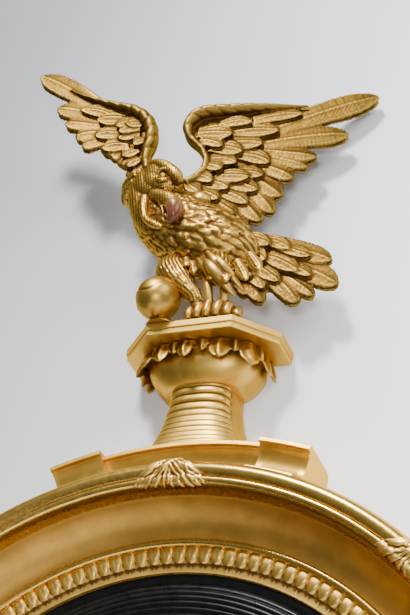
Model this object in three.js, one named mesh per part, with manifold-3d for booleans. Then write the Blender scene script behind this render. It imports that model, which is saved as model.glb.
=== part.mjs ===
// A round convex mirror in a gilded wood frame with an ebonised inner moulding. A crest on top carries
// a carved eagle on a leafed console, two candle arms swing at the sides, and the back hangs on two rings.
// Units are millimetres. X points right, Y points back to the wall, Z points up. The origin is the centre
// of the frame ring on the wall plane, so the wall is at y = 0 and the front of the mirror is at y < 0.
import * as THREE from 'three';
import { mergeVertices } from 'three/addons/utils/BufferGeometryUtils.js';
import Module from 'manifold-3d';

const wasm = await Module();
wasm.setup();

// ---------------------------------------------------------------- driving dimensions

const FIT = 0.3;                   // gap between two pieces that touch
const TIES = 8;                    // bound leaves round the outer moulding
const RING_SEGMENTS = 5 * TIES;    // facets round the frame
const CREST_SEGMENTS = 96;         // facets of a full turn on the short crest arcs
const PLAN_SEGMENTS = 5;           // facets of half a bowed front
const TURNED_SEGMENTS = 12;        // facets round a pan, nozzle or carved form
const SMALL_SEGMENTS = 8;          // facets round a screw, pin or wire
const TOE_SEGMENTS = 6;
const ROUND_STEPS = 4;             // facets of the small round; the large one has half as many again

// Ring, across: from its outer wall inwards.
const FRAME_RADIUS = 324;
const TORUS_RADIUS = 8.5;          // large round of the outer moulding
const TORUS_INSET = 2;             // its centre inside the frame's outer wall
const BEAD_RADIUS = 4.2;           // small round beside it
const BEAD_INSET = 12.2;
const COVE_INSET = 18.5;           // outer wall to the outer edge of the hollow
const COVE_WIDTH = 30.3;
const COVE_FILLET = 2.1;           // flat rim round the outer edge of the hollow
const ASTRAGAL_WIDTH = 4.8;
const LEAF_BAND_WIDTH = 16.5;      // swelling band with the leaf tips
const SIGHT_FILLET = 8;            // flat gilded rim inside the leaf tips
const SLIP_WIDTH = 39;             // visible width of the ebonised moulding
const SLIP_FLAT = 9.2;             // plain outer part of it
const SLIP_FLANGE = 8.2;           // part of it behind the frame's lip
const GLASS_OVERLAP = 29.8;        // glass behind the slip
const BACKBOARD_OVERLAP = 8.3;     // backboard's seat outside the rebate

// Ring, front to back: a stack from the wall forwards.
const BACKBOARD_RECESS = 2.2;
const BACKBOARD_THICKNESS = 5.5;
const GLAZING_BLOCK_THICKNESS = 5.7;
const GLASS_THICKNESS = 3.5;
const SLIP_FLANGE_THICKNESS = 9.6;
const LIP_DEPTH = 5.5;             // frame's lip in front of the flange of the slip
const LAND_STEP = 1.3;             // seat of the inner ornament below the foot of the hollow
const COVE_DEPTH = 42.5;
const RIM_HEIGHT = 9.3;            // outer edge of the hollow above the seat of the outer moulding
const TORUS_LIFT = 11;             // centres of the rounds above that seat
const BEAD_LIFT = 14;
const ASTRAGAL_HEIGHT = 4.2;
const LEAF_BAND_HEIGHT = 11.2;
const SIGHT_FILLET_HEIGHT = 2;
const SLIP_CROWN = 3.9;            // rise of the reeded part of the slip over its flat
const SLIP_INNER_STEP = 1.2;       // fall of its inner edge under its flat
const GLASS_SAGITTA = 34;          // bulge of the whole glass

const GLAZING_BLOCKS = 4;
const GLAZING_BLOCK_ANGLE = 8;     // degrees
const GLAZING_BLOCK_WIDTH = 24;
const BACKBOARD_SCREWS = 4;

const TIE_FIRST_ANGLE = 1.5;       // degrees to the right of the top
const TIE_ANGLE = 14;              // degrees that a bound leaf covers
const TIE_THICKNESS = 2.6;
const TIE_EDGES = [12, 168];       // its edges on the large and the small round, degrees from outwards

// Crest rail and its end blocks.
const CREST_HALF_ANGLE = 12.3;     // degrees of the middle rail to each side
const BLOCK_ANGLE = 7.9;           // degrees of an end block
const CREST_HEIGHT = 48;           // rail's top above the frame's outer wall
const CREST_FRONT = 50.5;          // wall plane to the rail's top edge
const BLOCK_PROUD = 11;            // end blocks stand in front of the rail
const CREST_FILLET = 5.5;
const CREST_FILLET_DEPTH = 4;
const CREST_HOLLOW = 11;           // depth of the hollow under the fillet
const CREST_FOOT_RISE = 12.6;      // top of the foot above the frame's outer wall
const CREST_FOOT_FORWARD = 16;     // foot in front of the rail's top edge
const CREST_BACK_ROUND = [10, 14]; // rounded back edge of its top: down and forward

// Console: neck, cup, slab and leaf collar.
const NECK_HEIGHT = 68;
const NECK_SCRIBE = 8;             // neck's foot runs down over the curve of the rail
const NECK_HALF_WIDTH = 30;
const NECK_FRONT = 40;
const NECK_CORNER = 18;
const NECK_FLARE = 1.75;           // foot over waist, across
const NECK_FRONT_FLARE = 1.16;     // foot over waist, front to back
const CUP_HEIGHT = 38.2;
const CUP_HALF_WIDTH = 55;
const CUP_FRONT = 55;
const CUP_CORNER = 33;
const SLAB_THICKNESS = 12.6;
const SLAB_FRONT_WIDTH = 87.5;
const SLAB_WIDTH = 162.3;
const SLAB_FRONT = 75.9;
const SLAB_CANT = 38.4;
const SLAB_STEP = 1.6;             // lower half of the slab's edge set in
const COLLAR_LEAVES = 8;
const COLLAR_SPREAD = 196;         // degrees round the front that the leaves take
const COLLAR_LEAF_WIDTH = 21;
const COLLAR_LEAF_THICKNESS = 3.6;
const COLLAR_LEAF_DROP = 26;
const COLLAR_LEAF_REACH = 13;
const COLLAR_BAND = 5;             // band that carries the leaves, high and wide

const BATTEN_WIDTH = 60;           // wooden batten that ties the crest to the ring at the back
const BATTEN_THICKNESS = 9;
const BATTEN_BELOW = 52;           // its ends, from the frame's outer wall
const BATTEN_ABOVE = 78;
const BATTEN_SCREW_ENDS = [20, 12]; // screws from its lower and its upper end
const BATTEN_SCREW_SINK = 2;

// Eagle: places are x, distance behind the slab's front edge and height above the slab.
const TRUNK_FORMS = [
  { centre: [-6, 18, 118], radii: [74, 36, 37], tilt: 30 },
  { centre: [-62, 16, 152], radii: [35, 31, 46], tilt: 10 },
  { centre: [-40, 22, 168], radii: [34, 26, 26], tilt: 0 },
];
const HEAD_FORMS = [
  { centre: [-50, -10, 180], radii: [27, 21, 23], tilt: 20 },
  { centre: [-31, -22, 148], radii: [14, 12, 31], tilt: -14 },
];
const TAIL_THICKNESS = 16;
const TAIL_PLACE = [0, 21];
const TAIL_TURN = [1, 0.16];       // direction of the tail's plate, across and back
const TAIL_OUTLINE = [
  [20, 150], [52, 134], [88, 103], [122, 90], [130, 76], [129, 54], [116, 58], [104, 56], [94, 36],
  [82, 44], [70, 50], [60, 38], [48, 52], [36, 39], [22, 62], [6, 70],
];

// Each wing lies in an upright plane: outline points are distance out from the shoulder and height.
const WING_THICKNESS = 15;
const WINGS = {
  left: {
    shoulder: [-77, 18], turn: [-0.985, -0.174], dowel: { from: [-70, 20, 172], to: [-92, 16, 222] },
    outline: [
      [-22, 176], [-8, 205], [1, 228], [0, 250], [-2, 270], [4, 284], [20, 304], [40, 312], [74, 320],
      [112, 348], [138, 368], [150, 361], [126, 325], [119, 309], [105, 285], [88, 274], [92, 265], [81, 249],
      [50, 235], [32, 218], [18, 200], [8, 182],
    ],
  },
  right: {
    shoulder: [-18, 18], turn: [0.962, 0.272], dowel: { from: [-34, 20, 168], to: [16, 27, 196] },
    outline: [
      [-14, 176], [-24, 190], [-2, 222], [-8, 236], [-22, 252], [-29, 268], [-24, 286], [4, 296], [60, 298],
      [98, 302], [140, 316], [177, 325], [180, 314], [158, 284], [145, 276], [151, 266], [139, 248], [115, 238],
      [116, 218], [92, 210], [96, 198], [84, 182], [86, 166], [68, 142], [58, 132], [30, 128], [4, 140],
    ],
  },
};
const LEGS = {
  left: { hip: [-20, 4, 70], knee: [-2, 4, 38], foot: [2, 6, 0], thigh: [17, 15, 24], tilt: 24 },
  right: { hip: [20, 14, 66], knee: [26, 14, 42], foot: [28, 14, 0], thigh: [14, 13, 24], tilt: 24 },
};
const SHANK_RADIUS = 5.2;
const ANKLE_HEIGHT = 10;
const FOOT_PAD = [9, 8, 6];        // half sizes
const TOE = [4.6, 9, 5.4];
const TOE_PITCH = 8.2;
const TOE_FORWARD = 5;
const DOWEL_RADIUS = 3;
const PIN_RISE = 26;               // pin of the right foot above the slab
const PIN_FLOOR = 2;               // wood left under the pin

const BALL_RADIUS = 21;
const BALL_PLACE = [-33, -3];
const BALL_LIFT = 4;               // foot of the ball above the slab, in its mound
const MOUND = { radius: 15, shoulder: 13, step: 4, top: 9, behind: 12 };

// Candle arms.
const ARM_ANGLE = 118;             // degrees from the top of the ring to the bracket
const BRACKET_REACH = 22;          // frame's outer wall to the swivel's axis, across
const BRACKET_PLATE = { length: 56, depth: 40, thickness: 4, middle: 33 };
const BRACKET_BAR = 11;
const BRACKET_SCREW_ANGLE = 3.2;   // degrees above the bracket's middle
const SWIVEL_FORWARD = 45;         // wall plane to the swivel's axis
const SWIVEL_PIN_RADIUS = 3.2;
const SWIVEL_CLEARANCE = 0.35;
const SWIVEL_WALL = 3.6;
const SWIVEL_HEIGHT = 18;
const SWIVEL_PIN_BELOW = 2;        // pin stands out under the socket
const ARM_COLLAR = 5;
const ARM_REACH = 104;
const ARM_RISE = 62;
const ARM_RADIUS = 3.6;
const ARM_REST_ANGLE = 45;         // degrees forward of straight out
const ARM_COURSE = [[0, 9], [14, 2], [34, -14], [62, -20], [88, -6], [101, 22]]; // out and up
const BOSS_RADIUS = 7;
const BOSS_HEIGHT = 12;
const PAN_RADIUS = 29;
const PAN_DEPTH = 6;
const PAN_WALL = 1.4;
const PAN_FLAT = 0.7;              // share of the radius that is its floor
const CANDLE_RADIUS = 10.6;        // bore for a candle
const CANDLE_DEPTH = 25;
const NOZZLE_WALL = 1.5;
const NOZZLE_FLOOR = 9;
const NOZZLE_LIP = [3.5, 1.5];     // out and high
const SPIGOT_RADIUS = 3.6;
const SPIGOT_LENGTH = 9;

// Hangers on the back.
const HANGER_ANGLE = 52;           // degrees from the top of the ring to a hanging ring
const HANGER_INSET = 32;           // frame's outer wall to the ring's hinge
const POCKET = { width: 24, depth: 11, above: 28, below: 22 };
const STRAP = { width: 13, rise: 26, thickness: 1.4, screw: 19 };
const HANGER_RING_RADIUS = 9;      // to the middle of the wire
const HANGER_RING_DROP = 3;        // centre of its round under its hinge
const HANGER_WIRE_RADIUS = 1.6;
const HANGER_CLEARANCE = 0.4;
const BARREL_WALL = 1.3;

const SCREW_RADIUS = 1.5;
const SCREW_HEAD_RADIUS = 3;
const SCREW_HEAD_HEIGHT = 1.3;
const SCREW_CLEARANCE = 0.3;
const SCREW_LENGTH = { backboard: 16, bracket: 15, batten: 20, hanger: 14 };

// ---------------------------------------------------------------- finishes

const finish = (color, roughness, metalness) => (
  new THREE.MeshStandardMaterial({ color, roughness, metalness }));
const burnishedGold = () => finish(0xd9a441, 0.28, 0.9);
const carvedGold = () => finish(0xb98a34, 0.4, 0.85);
const ebonised = () => finish(0x14130f, 0.32, 0.0);
const silvered = () => finish(0xc9ccd0, 0.05, 1.0);
const pine = () => finish(0xa9855a, 0.8, 0.0);
const iron = () => finish(0x4a4744, 0.55, 0.9);
const brass = () => finish(0xb98f45, 0.3, 1.0);

// ---------------------------------------------------------------- helpers

const rad = THREE.MathUtils.degToRad;
const deg = THREE.MathUtils.radToDeg;
const UP = new THREE.Vector3(0, 0, 1);
const ALONG_Y = new THREE.Vector3(0, 1, 0);
const SIDES = ['left', 'right'];
const sign = (side) => (side === 'left' ? -1 : 1);
const BEYOND = 900;                // longer than any piece, for cutting boxes

// A closed mesh as a solid for joining and cutting: shared vertices are merged and slivers dropped.
function solid(geometry) {
  const plain = geometry.clone();
  for (const name of Object.keys(plain.attributes)) if (name !== 'position') plain.deleteAttribute(name);
  const merged = mergeVertices(plain, 1e-4);
  const order = [];
  const index = merged.index.array;
  for (let i = 0; i < index.length; i += 3) {
    const [a, b, c] = [index[i], index[i + 1], index[i + 2]];
    if (a !== b && b !== c && c !== a) order.push(a, b, c);
  }
  const vertProperties = new Float32Array(merged.attributes.position.array);
  return new wasm.Manifold(new wasm.Mesh({ numProp: 3, vertProperties, triVerts: new Uint32Array(order) }));
}

// A solid back as a geometry.
function geometryOf(body) {
  const { vertProperties, triVerts, numProp } = body.getMesh();
  const points = new Float32Array((vertProperties.length / numProp) * 3);
  for (let i = 0; i < points.length / 3; i += 1) {
    for (let k = 0; k < 3; k += 1) points[3 * i + k] = vertProperties[numProp * i + k];
  }
  const geometry = new THREE.BufferGeometry();
  geometry.setAttribute('position', new THREE.BufferAttribute(points, 3));
  geometry.setIndex(new THREE.BufferAttribute(new Uint32Array(triVerts), 1));
  geometry.computeVertexNormals();
  return geometry;
}

const join = (...bodies) => bodies.reduce((whole, next) => whole.add(next));
const cut = (body, ...tools) => tools.reduce((left, tool) => left.subtract(tool), body);

// Radius and depth in front of the wall, as a point of a profile turned about the Y axis.
const at = (radius, depth) => new THREE.Vector2(radius, -depth);

function signedArea(points) {
  return points.reduce((sum, p, i) => {
    const q = points[(i + 1) % points.length];
    return sum + (p.x * q.y - q.x * p.y) / 2;
  }, 0);
}

// A closed profile turned round the Y axis.
function turnedRing(profile, segments = RING_SEGMENTS) {
  const points = signedArea(profile) > 0 ? [...profile] : [...profile].reverse();
  return new THREE.LatheGeometry([...points, points[0].clone()], segments);
}

// A profile that starts and ends on the axis, turned round the Y axis.
function turned(profile, segments = TURNED_SEGMENTS) {
  const points = signedArea(profile) > 0 ? profile : [...profile].reverse();
  return new THREE.LatheGeometry(points, segments);
}

// A round bar of endless length about the Y axis, for scribing a piece to a curve.
const endlessRound = (radius) => solid(turned(
  [at(0, -BEYOND), at(radius, -BEYOND), at(radius, BEYOND), at(0, BEYOND)], CREST_SEGMENTS,
));

// Points of an arc of a profile, both ends included, angles in degrees from the outward radius to the front.
function arc(centre, radius, from, to, steps, squash = 1) {
  return Array.from({ length: steps + 1 }, (_, i) => {
    const angle = rad(from + ((to - from) * i) / steps);
    return at(centre[0] + radius * Math.cos(angle), centre[1] + radius * squash * Math.sin(angle));
  });
}

// A geometry carried to a place: its own X, Y and Z turn to the three given directions.
function placed(geometry, origin, x, y, z) {
  const matrix = new THREE.Matrix4().makeBasis(x, y, z).setPosition(...origin);
  return geometry.clone().applyMatrix4(matrix);
}

// A plate of an outline in an upright plane: across along a direction in plan, up, and thick both ways.
function uprightPlate(outline, thickness, origin, turn) {
  const shape = new THREE.Shape(outline.map(([across, up]) => new THREE.Vector2(across, up)));
  const plate = new THREE.ExtrudeGeometry(shape, { depth: thickness, bevelEnabled: false });
  const along = new THREE.Vector3(...turn, 0).normalize();
  plate.translate(0, 0, -thickness / 2);
  return solid(placed(plate, origin, along, UP, new THREE.Vector3().crossVectors(along, UP)));
}

// A round bar or hole with square ends, from one point to another.
function rod(from, to, radius, segments = SMALL_SEGMENTS) {
  const run = new THREE.Vector3(...to).sub(new THREE.Vector3(...from));
  const geometry = new THREE.CylinderGeometry(radius, radius, run.length(), segments);
  geometry.translate(0, run.length() / 2, 0);
  geometry.applyQuaternion(new THREE.Quaternion().setFromUnitVectors(ALONG_Y, run.normalize()));
  return geometry.translate(...from);
}

const block = (size, centre) => new THREE.BoxGeometry(...size).translate(...centre);

// A wedge of the round, from one polar angle to another, in degrees from the top to the right.
function wedge(from, to) {
  const reach = 2 * BEYOND;
  const corner = (angle) => new THREE.Vector2(reach * Math.sin(rad(angle)), reach * Math.cos(rad(angle)));
  const shape = new THREE.Shape([new THREE.Vector2(0, 0), corner(from), corner((from + to) / 2), corner(to)]);
  const slice = new THREE.ExtrudeGeometry(shape, { depth: BEYOND, bevelEnabled: false });
  return solid(slice.rotateX(Math.PI / 2).translate(0, BEYOND / 2, 0));
}

// A place on the round: polar angle in degrees from the top, radius and depth in front of the wall.
const onRound = (angle, radius, depth) => [
  radius * Math.sin(rad(angle)), -depth, radius * Math.cos(rad(angle)),
];

const group = new THREE.Group();
group.name = 'girandole_mirror';

function add(name, geometry, material) {
  const mesh = new THREE.Mesh(geometry, material);
  mesh.name = name;
  group.add(mesh);
}

// ---------------------------------------------------------------- screws

// A point some way along a direction.
const along = (point, direction, distance) => new THREE.Vector3(...point)
  .addScaledVector(new THREE.Vector3(...direction).normalize(), distance).toArray();

// A screw: shank from the seat of the head along its direction, and the head behind the seat.
function screw({ seat, direction, length }) {
  const inHead = along(seat, direction, -SCREW_HEAD_HEIGHT / 2);
  const shank = rod(inHead, along(seat, direction, length), SCREW_RADIUS);
  const head = rod(along(seat, direction, -SCREW_HEAD_HEIGHT), seat, SCREW_HEAD_RADIUS);
  return geometryOf(join(solid(shank), solid(head)));
}

// The hole that a screw passes, a little longer and wider than its shank.
function screwHole({ seat, direction, length }) {
  return solid(rod(along(seat, direction, -SCREW_CLEARANCE), along(seat, direction, length + SCREW_CLEARANCE),
    SCREW_RADIUS + SCREW_CLEARANCE));
}

// ---------------------------------------------------------------- ring: shared radii and depths

const coveOuter = FRAME_RADIUS - COVE_INSET;
const coveInner = coveOuter - COVE_WIDTH;
const astragalOuter = coveInner - FIT;
const leafBandOuter = astragalOuter - ASTRAGAL_WIDTH - FIT;
const leafTips = leafBandOuter - LEAF_BAND_WIDTH;
const sight = leafTips - SIGHT_FILLET;
const slipOuter = sight - 2 * FIT;
const slipInner = slipOuter - SLIP_WIDTH;
const flangeOuter = slipOuter + SLIP_FLANGE;
const rebate = flangeOuter + FIT;
const glassRadius = slipInner + GLASS_OVERLAP;
const backboardRebate = rebate + BACKBOARD_OVERLAP;

const backboardSeat = BACKBOARD_RECESS + BACKBOARD_THICKNESS + FIT;
const glassBack = backboardSeat + GLAZING_BLOCK_THICKNESS + FIT;
const glassFront = glassBack + GLASS_THICKNESS;
const slipBack = glassFront + 2 * FIT;
const lipBack = slipBack + SLIP_FLANGE_THICKNESS + FIT;
const land = lipBack + LIP_DEPTH;
const coveFoot = land + LAND_STEP;
const coveEdge = coveFoot + COVE_DEPTH;
const mouldingSeat = coveEdge - RIM_HEIGHT;
const frameDepth = mouldingSeat - FIT;
const slipFace = land - 3 * FIT;
const ornamentSeat = land + FIT;

// Radius of the hollow at a depth.
function coveRadiusAt(depth) {
  const sine = (coveEdge - depth) / COVE_DEPTH;
  return coveInner + COVE_WIDTH * Math.sqrt(1 - sine * sine);
}

// The hollow: a quarter ellipse that starts straight back at its outer edge and ends flat at its foot.
function covePoints(fromDepth, toDepth, steps) {
  const angleAt = (depth) => deg(Math.asin((coveEdge - depth) / COVE_DEPTH));
  return arc([coveInner, coveEdge], COVE_WIDTH, -angleAt(fromDepth), -angleAt(toDepth), steps,
    COVE_DEPTH / COVE_WIDTH);
}

// Rise of the bulging glass over its rim at a radius, from its sphere.
const glassSphere = (glassRadius ** 2 + GLASS_SAGITTA ** 2) / (2 * GLASS_SAGITTA);
const sphereHeight = (radius) => Math.sqrt(glassSphere ** 2 - radius ** 2);
const bulge = (radius) => sphereHeight(radius) - sphereHeight(glassRadius);

const FORWARD = [0, -1, 0];
const backboardScrews = Array.from({ length: BACKBOARD_SCREWS }, (_, i) => ({
  seat: onRound(((i + 0.5) * 360) / BACKBOARD_SCREWS, (rebate + backboardRebate) / 2, BACKBOARD_RECESS - FIT),
  direction: FORWARD, length: SCREW_LENGTH.backboard,
}));

const crestSeat = FRAME_RADIUS + FIT;

// The screw of a bracket, through its plate towards the centre of the ring.
function bracketScrew(side) {
  const angle = sign(side) * (ARM_ANGLE - BRACKET_SCREW_ANGLE);
  const seat = onRound(angle, crestSeat + BRACKET_PLATE.thickness + FIT, BRACKET_PLATE.middle);
  return { seat, direction: [-Math.sin(rad(angle)), 0, -Math.cos(rad(angle))], length: SCREW_LENGTH.bracket };
}

// The batten: a flat board let into the backs of neck, rail and ring, with a screw low and a screw high.
const battenBottom = FRAME_RADIUS - BATTEN_BELOW;
const battenTop = FRAME_RADIUS + BATTEN_ABOVE;
const battenMiddle = (battenTop + battenBottom) / 2;
const battenScrews = [battenBottom + BATTEN_SCREW_ENDS[0], battenTop - BATTEN_SCREW_ENDS[1]].map((height) => ({
  seat: [0, -BATTEN_SCREW_SINK, height], direction: FORWARD, length: SCREW_LENGTH.batten,
}));

const hangerHinge = (side) => onRound(sign(side) * HANGER_ANGLE, FRAME_RADIUS - HANGER_INSET, 0);
const strapDepth = POCKET.depth - FIT;
const strapFace = strapDepth - STRAP.thickness;

// The screw of a hanger, through its strap into the pocket's floor.
function hangerScrew(side) {
  const [x, , z] = hangerHinge(side);
  return { seat: [x, FIT - strapFace, z + STRAP.screw], direction: FORWARD, length: SCREW_LENGTH.hanger };
}

// ---------------------------------------------------------------- ring pieces

function pocket(side) {
  const [x, , z] = hangerHinge(side);
  const size = [POCKET.width, 2 * POCKET.depth, POCKET.above + POCKET.below];
  return solid(block(size, [x, 0, z + (POCKET.above - POCKET.below) / 2]));
}

function carcaseRing() {
  const profile = [
    at(backboardRebate, 0), at(FRAME_RADIUS, 0), at(FRAME_RADIUS, frameDepth),
    ...covePoints(frameDepth, coveFoot, 4), at(coveInner, land), at(slipOuter + FIT, land),
    at(slipOuter + FIT, lipBack), at(rebate, lipBack), at(rebate, backboardSeat),
    at(backboardRebate, backboardSeat),
  ];
  const screws = [...backboardScrews, ...SIDES.map(bracketScrew), ...SIDES.map(hangerScrew), ...battenScrews];
  const spaces = [...SIDES.map(pocket), battenSpace(), ...screws.map(screwHole)];
  return geometryOf(cut(solid(turnedRing(profile)), ...spaces));
}

// Large round, small round and rim of the outer moulding, with the top of the hollow inside it.
const torusCentre = [FRAME_RADIUS - TORUS_INSET, mouldingSeat + TORUS_LIFT];
const beadCentre = [FRAME_RADIUS - BEAD_INSET, mouldingSeat + BEAD_LIFT];

// The groove where the two rounds meet: its angle on each round, in degrees from the outward radius.
function groove(grow) {
  const apart = new THREE.Vector2(torusCentre[0] - beadCentre[0], torusCentre[1] - beadCentre[1]);
  const distance = apart.length();
  const reach = (distance ** 2 + (BEAD_RADIUS + grow) ** 2 - (TORUS_RADIUS + grow) ** 2) / (2 * distance);
  const forward = Math.sqrt((BEAD_RADIUS + grow) ** 2 - reach ** 2);
  const tilt = Math.atan2(apart.y, apart.x);
  return {
    onBead: deg(tilt + Math.atan2(forward, reach)),
    onTorus: deg(tilt + Math.atan2(forward, reach - distance)),
  };
}

// Both rounds from the outer side to the inner one.
function rounds(outerAngle, innerAngle, grow) {
  const { onBead, onTorus } = groove(grow);
  return [
    ...arc(torusCentre, TORUS_RADIUS + grow, outerAngle, onTorus, 1.5 * ROUND_STEPS),
    ...arc(beadCentre, BEAD_RADIUS + grow, onBead, innerAngle, ROUND_STEPS).slice(1),
  ];
}

function outerMoulding() {
  const outerFoot = -deg(Math.acos(TORUS_INSET / TORUS_RADIUS));
  const innerFoot = 200;
  return turnedRing([
    at(FRAME_RADIUS, mouldingSeat), ...rounds(outerFoot, innerFoot, 0),
    at(coveOuter + COVE_FILLET, coveEdge), at(coveOuter, coveEdge),
    at(coveRadiusAt(mouldingSeat), mouldingSeat),
  ]);
}

function astragal() {
  const middle = [astragalOuter - ASTRAGAL_WIDTH / 2, ornamentSeat + ASTRAGAL_HEIGHT - ASTRAGAL_WIDTH / 2];
  return turnedRing([at(astragalOuter, ornamentSeat), ...arc(middle, ASTRAGAL_WIDTH / 2, 0, 180, 3),
    at(astragalOuter - ASTRAGAL_WIDTH, ornamentSeat)]);
}

// The leaf band swells over its width: shares of width and height.
function leafTipBand() {
  const swell = [[0, 0.25], [0.12, 0.8], [0.38, 1], [0.66, 0.85], [0.95, 0.3]];
  const outline = swell.map(([across, up]) => (
    at(leafBandOuter - across * LEAF_BAND_WIDTH, ornamentSeat + up * LEAF_BAND_HEIGHT)));
  const flat = ornamentSeat + SIGHT_FILLET_HEIGHT;
  return turnedRing([at(leafBandOuter, ornamentSeat), ...outline, at(leafTips, flat), at(sight, flat),
    at(sight, ornamentSeat)]);
}

function reededSlip() {
  const flatInner = slipOuter - SLIP_FLAT;
  const crown = [0.25, 0.55, 0.85].map((share) => (
    at(flatInner - share * (flatInner - slipInner), slipFace + SLIP_CROWN * Math.sin(Math.PI * share))));
  const under = [slipInner, (slipInner + glassRadius) / 2, glassRadius].map((radius) => (
    at(radius, slipBack + bulge(radius))));
  return turnedRing([
    at(flangeOuter, slipBack), at(flangeOuter, lipBack - FIT), at(slipOuter, lipBack - FIT),
    at(slipOuter, slipFace), at(flatInner, slipFace), ...crown,
    at(slipInner, slipFace - SLIP_INNER_STEP), ...under,
  ]);
}

function mirrorGlass() {
  const steps = 4;
  const front = Array.from({ length: steps + 1 }, (_, i) => {
    const radius = (glassRadius * i) / steps;
    return at(radius, glassFront + bulge(radius));
  });
  const back = [...front].reverse().map((p) => at(p.x, -p.y - GLASS_THICKNESS));
  return turned([...front, ...back], RING_SEGMENTS);
}

// A block glued in the rebate behind the rim of the glass.
function glazingBlock(middle) {
  const outer = rebate - FIT;
  const inner = outer - GLAZING_BLOCK_WIDTH;
  const front = glassBack - FIT;
  const profile = [at(outer, backboardSeat), at(outer, front), at(inner, front), at(inner, backboardSeat)];
  const half = GLAZING_BLOCK_ANGLE / 2;
  return geometryOf(solid(turnedRing(profile)).intersect(wedge(middle - half, middle + half)));
}

function backboard() {
  const radius = backboardRebate - FIT;
  const inside = BACKBOARD_RECESS + BACKBOARD_THICKNESS;
  const disc = turned([
    at(0, BACKBOARD_RECESS), at(radius, BACKBOARD_RECESS), at(radius, inside), at(0, inside),
  ], RING_SEGMENTS);
  return geometryOf(cut(solid(disc), ...backboardScrews.map(screwHole)));
}

// A bound leaf: a saddle over both rounds of the moulding, cut to a pointed oval.
function tie(middle, grow = 0) {
  const shell = (clearance) => {
    const points = rounds(...TIE_EDGES, clearance);
    return solid(turnedRing([...points, at(points.at(-1).x, mouldingSeat), at(points[0].x, mouldingSeat)]));
  };
  const reach = (torusCentre[0] * rad(TIE_ANGLE)) / 2 + grow;
  const breadth = TORUS_RADIUS + BEAD_RADIUS + TIE_THICKNESS + grow;
  const outline = new THREE.Shape();
  outline.moveTo(-reach, 0);
  outline.quadraticCurveTo(0, 2 * breadth, reach, 0);
  outline.quadraticCurveTo(0, -2 * breadth, -reach, 0);
  const punch = new THREE.ExtrudeGeometry(outline, { depth: BEYOND, bevelEnabled: false, curveSegments: 4 });
  punch.rotateX(Math.PI / 2).translate(0, 0, (torusCentre[0] + beadCentre[0]) / 2).rotateY(rad(middle));
  const front = block([2 * BEYOND, BEYOND, 2 * BEYOND], [0, -coveEdge - FIT - BEYOND / 2, 0]);
  const saddle = cut(shell(FIT + TIE_THICKNESS + grow), shell(FIT - grow));
  return saddle.intersect(solid(punch)).intersect(solid(front));
}

// ---------------------------------------------------------------- crest

const crestTop = FRAME_RADIUS + CREST_HEIGHT;
const torusTop = torusCentre[0] + TORUS_RADIUS + 2 * FIT;

// Section of the crest rail: foot over the outer moulding, hollow, fillet, top and rounded back edge.
function railSection(front) {
  const foot = FRAME_RADIUS + CREST_FOOT_RISE;
  const toe = Math.min(front + CREST_FOOT_FORWARD, torusCentre[1] - FIT);
  const fillet = crestTop - CREST_FILLET;
  const hollow = front - CREST_HOLLOW;
  const across = (share) => foot + share * (fillet - foot);
  const up = (share) => hollow + share * CREST_HOLLOW;
  const [down, forward] = CREST_BACK_ROUND;
  return [
    at(crestSeat, 0), at(crestSeat, frameDepth - FIT), at(torusTop, Math.min(frameDepth, toe - FIT)),
    at(torusTop, toe), at(foot, toe), at(across(0.13), up(0.82)), at(across(0.4), up(0.14)),
    at(across(0.67), hollow), at(across(0.87), up(0.27)), at(fillet, front - CREST_FILLET_DEPTH),
    at(fillet, front), at(crestTop, front),
    at(crestTop, forward), at(crestTop - 0.3 * down, 0.36 * forward), at(crestTop - down, 0),
  ];
}

const crestArc = (front, from, to) => (
  solid(turnedRing(railSection(front), CREST_SEGMENTS)).intersect(wedge(from, to)));

// The room that the batten takes in the backs of ring, rail and neck.
function battenSpace() {
  const size = [BATTEN_WIDTH + 2 * FIT, 2 * (BATTEN_THICKNESS + FIT), battenTop - battenBottom + 2 * FIT];
  return solid(block(size, [0, 0, battenMiddle]));
}

function batten() {
  const size = [BATTEN_WIDTH, BATTEN_THICKNESS, battenTop - battenBottom];
  const board = block(size, [0, -BATTEN_THICKNESS / 2, battenMiddle]);
  const sinks = battenScrews.map(({ seat, direction }) => solid(
    rod(along(seat, direction, -BATTEN_SCREW_SINK - FIT), along(seat, direction, FIT), SCREW_HEAD_RADIUS + FIT),
  ));
  return geometryOf(cut(solid(board), ...sinks, ...battenScrews.map(screwHole)));
}

// The rail gives way to the bound leaf in front of it and to the batten behind it.
function crestRail() {
  const joint = deg(FIT / crestTop);
  const whole = crestArc(CREST_FRONT, joint - CREST_HALF_ANGLE, CREST_HALF_ANGLE - joint);
  return geometryOf(cut(whole, battenSpace(), ...battenScrews.map(screwHole), tie(TIE_FIRST_ANGLE, FIT)));
}

function crestBlock(side) {
  const ends = [sign(side) * CREST_HALF_ANGLE, sign(side) * (CREST_HALF_ANGLE + BLOCK_ANGLE)];
  return geometryOf(crestArc(CREST_FRONT + BLOCK_PROUD, Math.min(...ends), Math.max(...ends)));
}

// An upright form: a plan outline from the wall round the front, swept up with its own scale at each height.
function upright(plan, bottom, top, steps, across, forward) {
  const geometry = new THREE.ExtrudeGeometry(plan,
    { depth: top - bottom, steps, bevelEnabled: false, curveSegments: PLAN_SEGMENTS });
  const points = geometry.attributes.position;
  for (let i = 0; i < points.count; i += 1) {
    const share = points.getZ(i) / (top - bottom);
    points.setXYZ(i, points.getX(i) * across(share), points.getY(i) * forward(share), bottom + points.getZ(i));
  }
  return geometry;
}

// A plan with straight sides from the wall and rounded front corners.
function bowedPlan(halfWidth, front, corner) {
  const shape = new THREE.Shape();
  shape.moveTo(-halfWidth, 0);
  shape.lineTo(-halfWidth, corner - front);
  shape.quadraticCurveTo(-halfWidth, -front, 0, -front);
  shape.quadraticCurveTo(halfWidth, -front, halfWidth, corner - front);
  shape.lineTo(halfWidth, 0);
  return shape;
}

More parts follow.
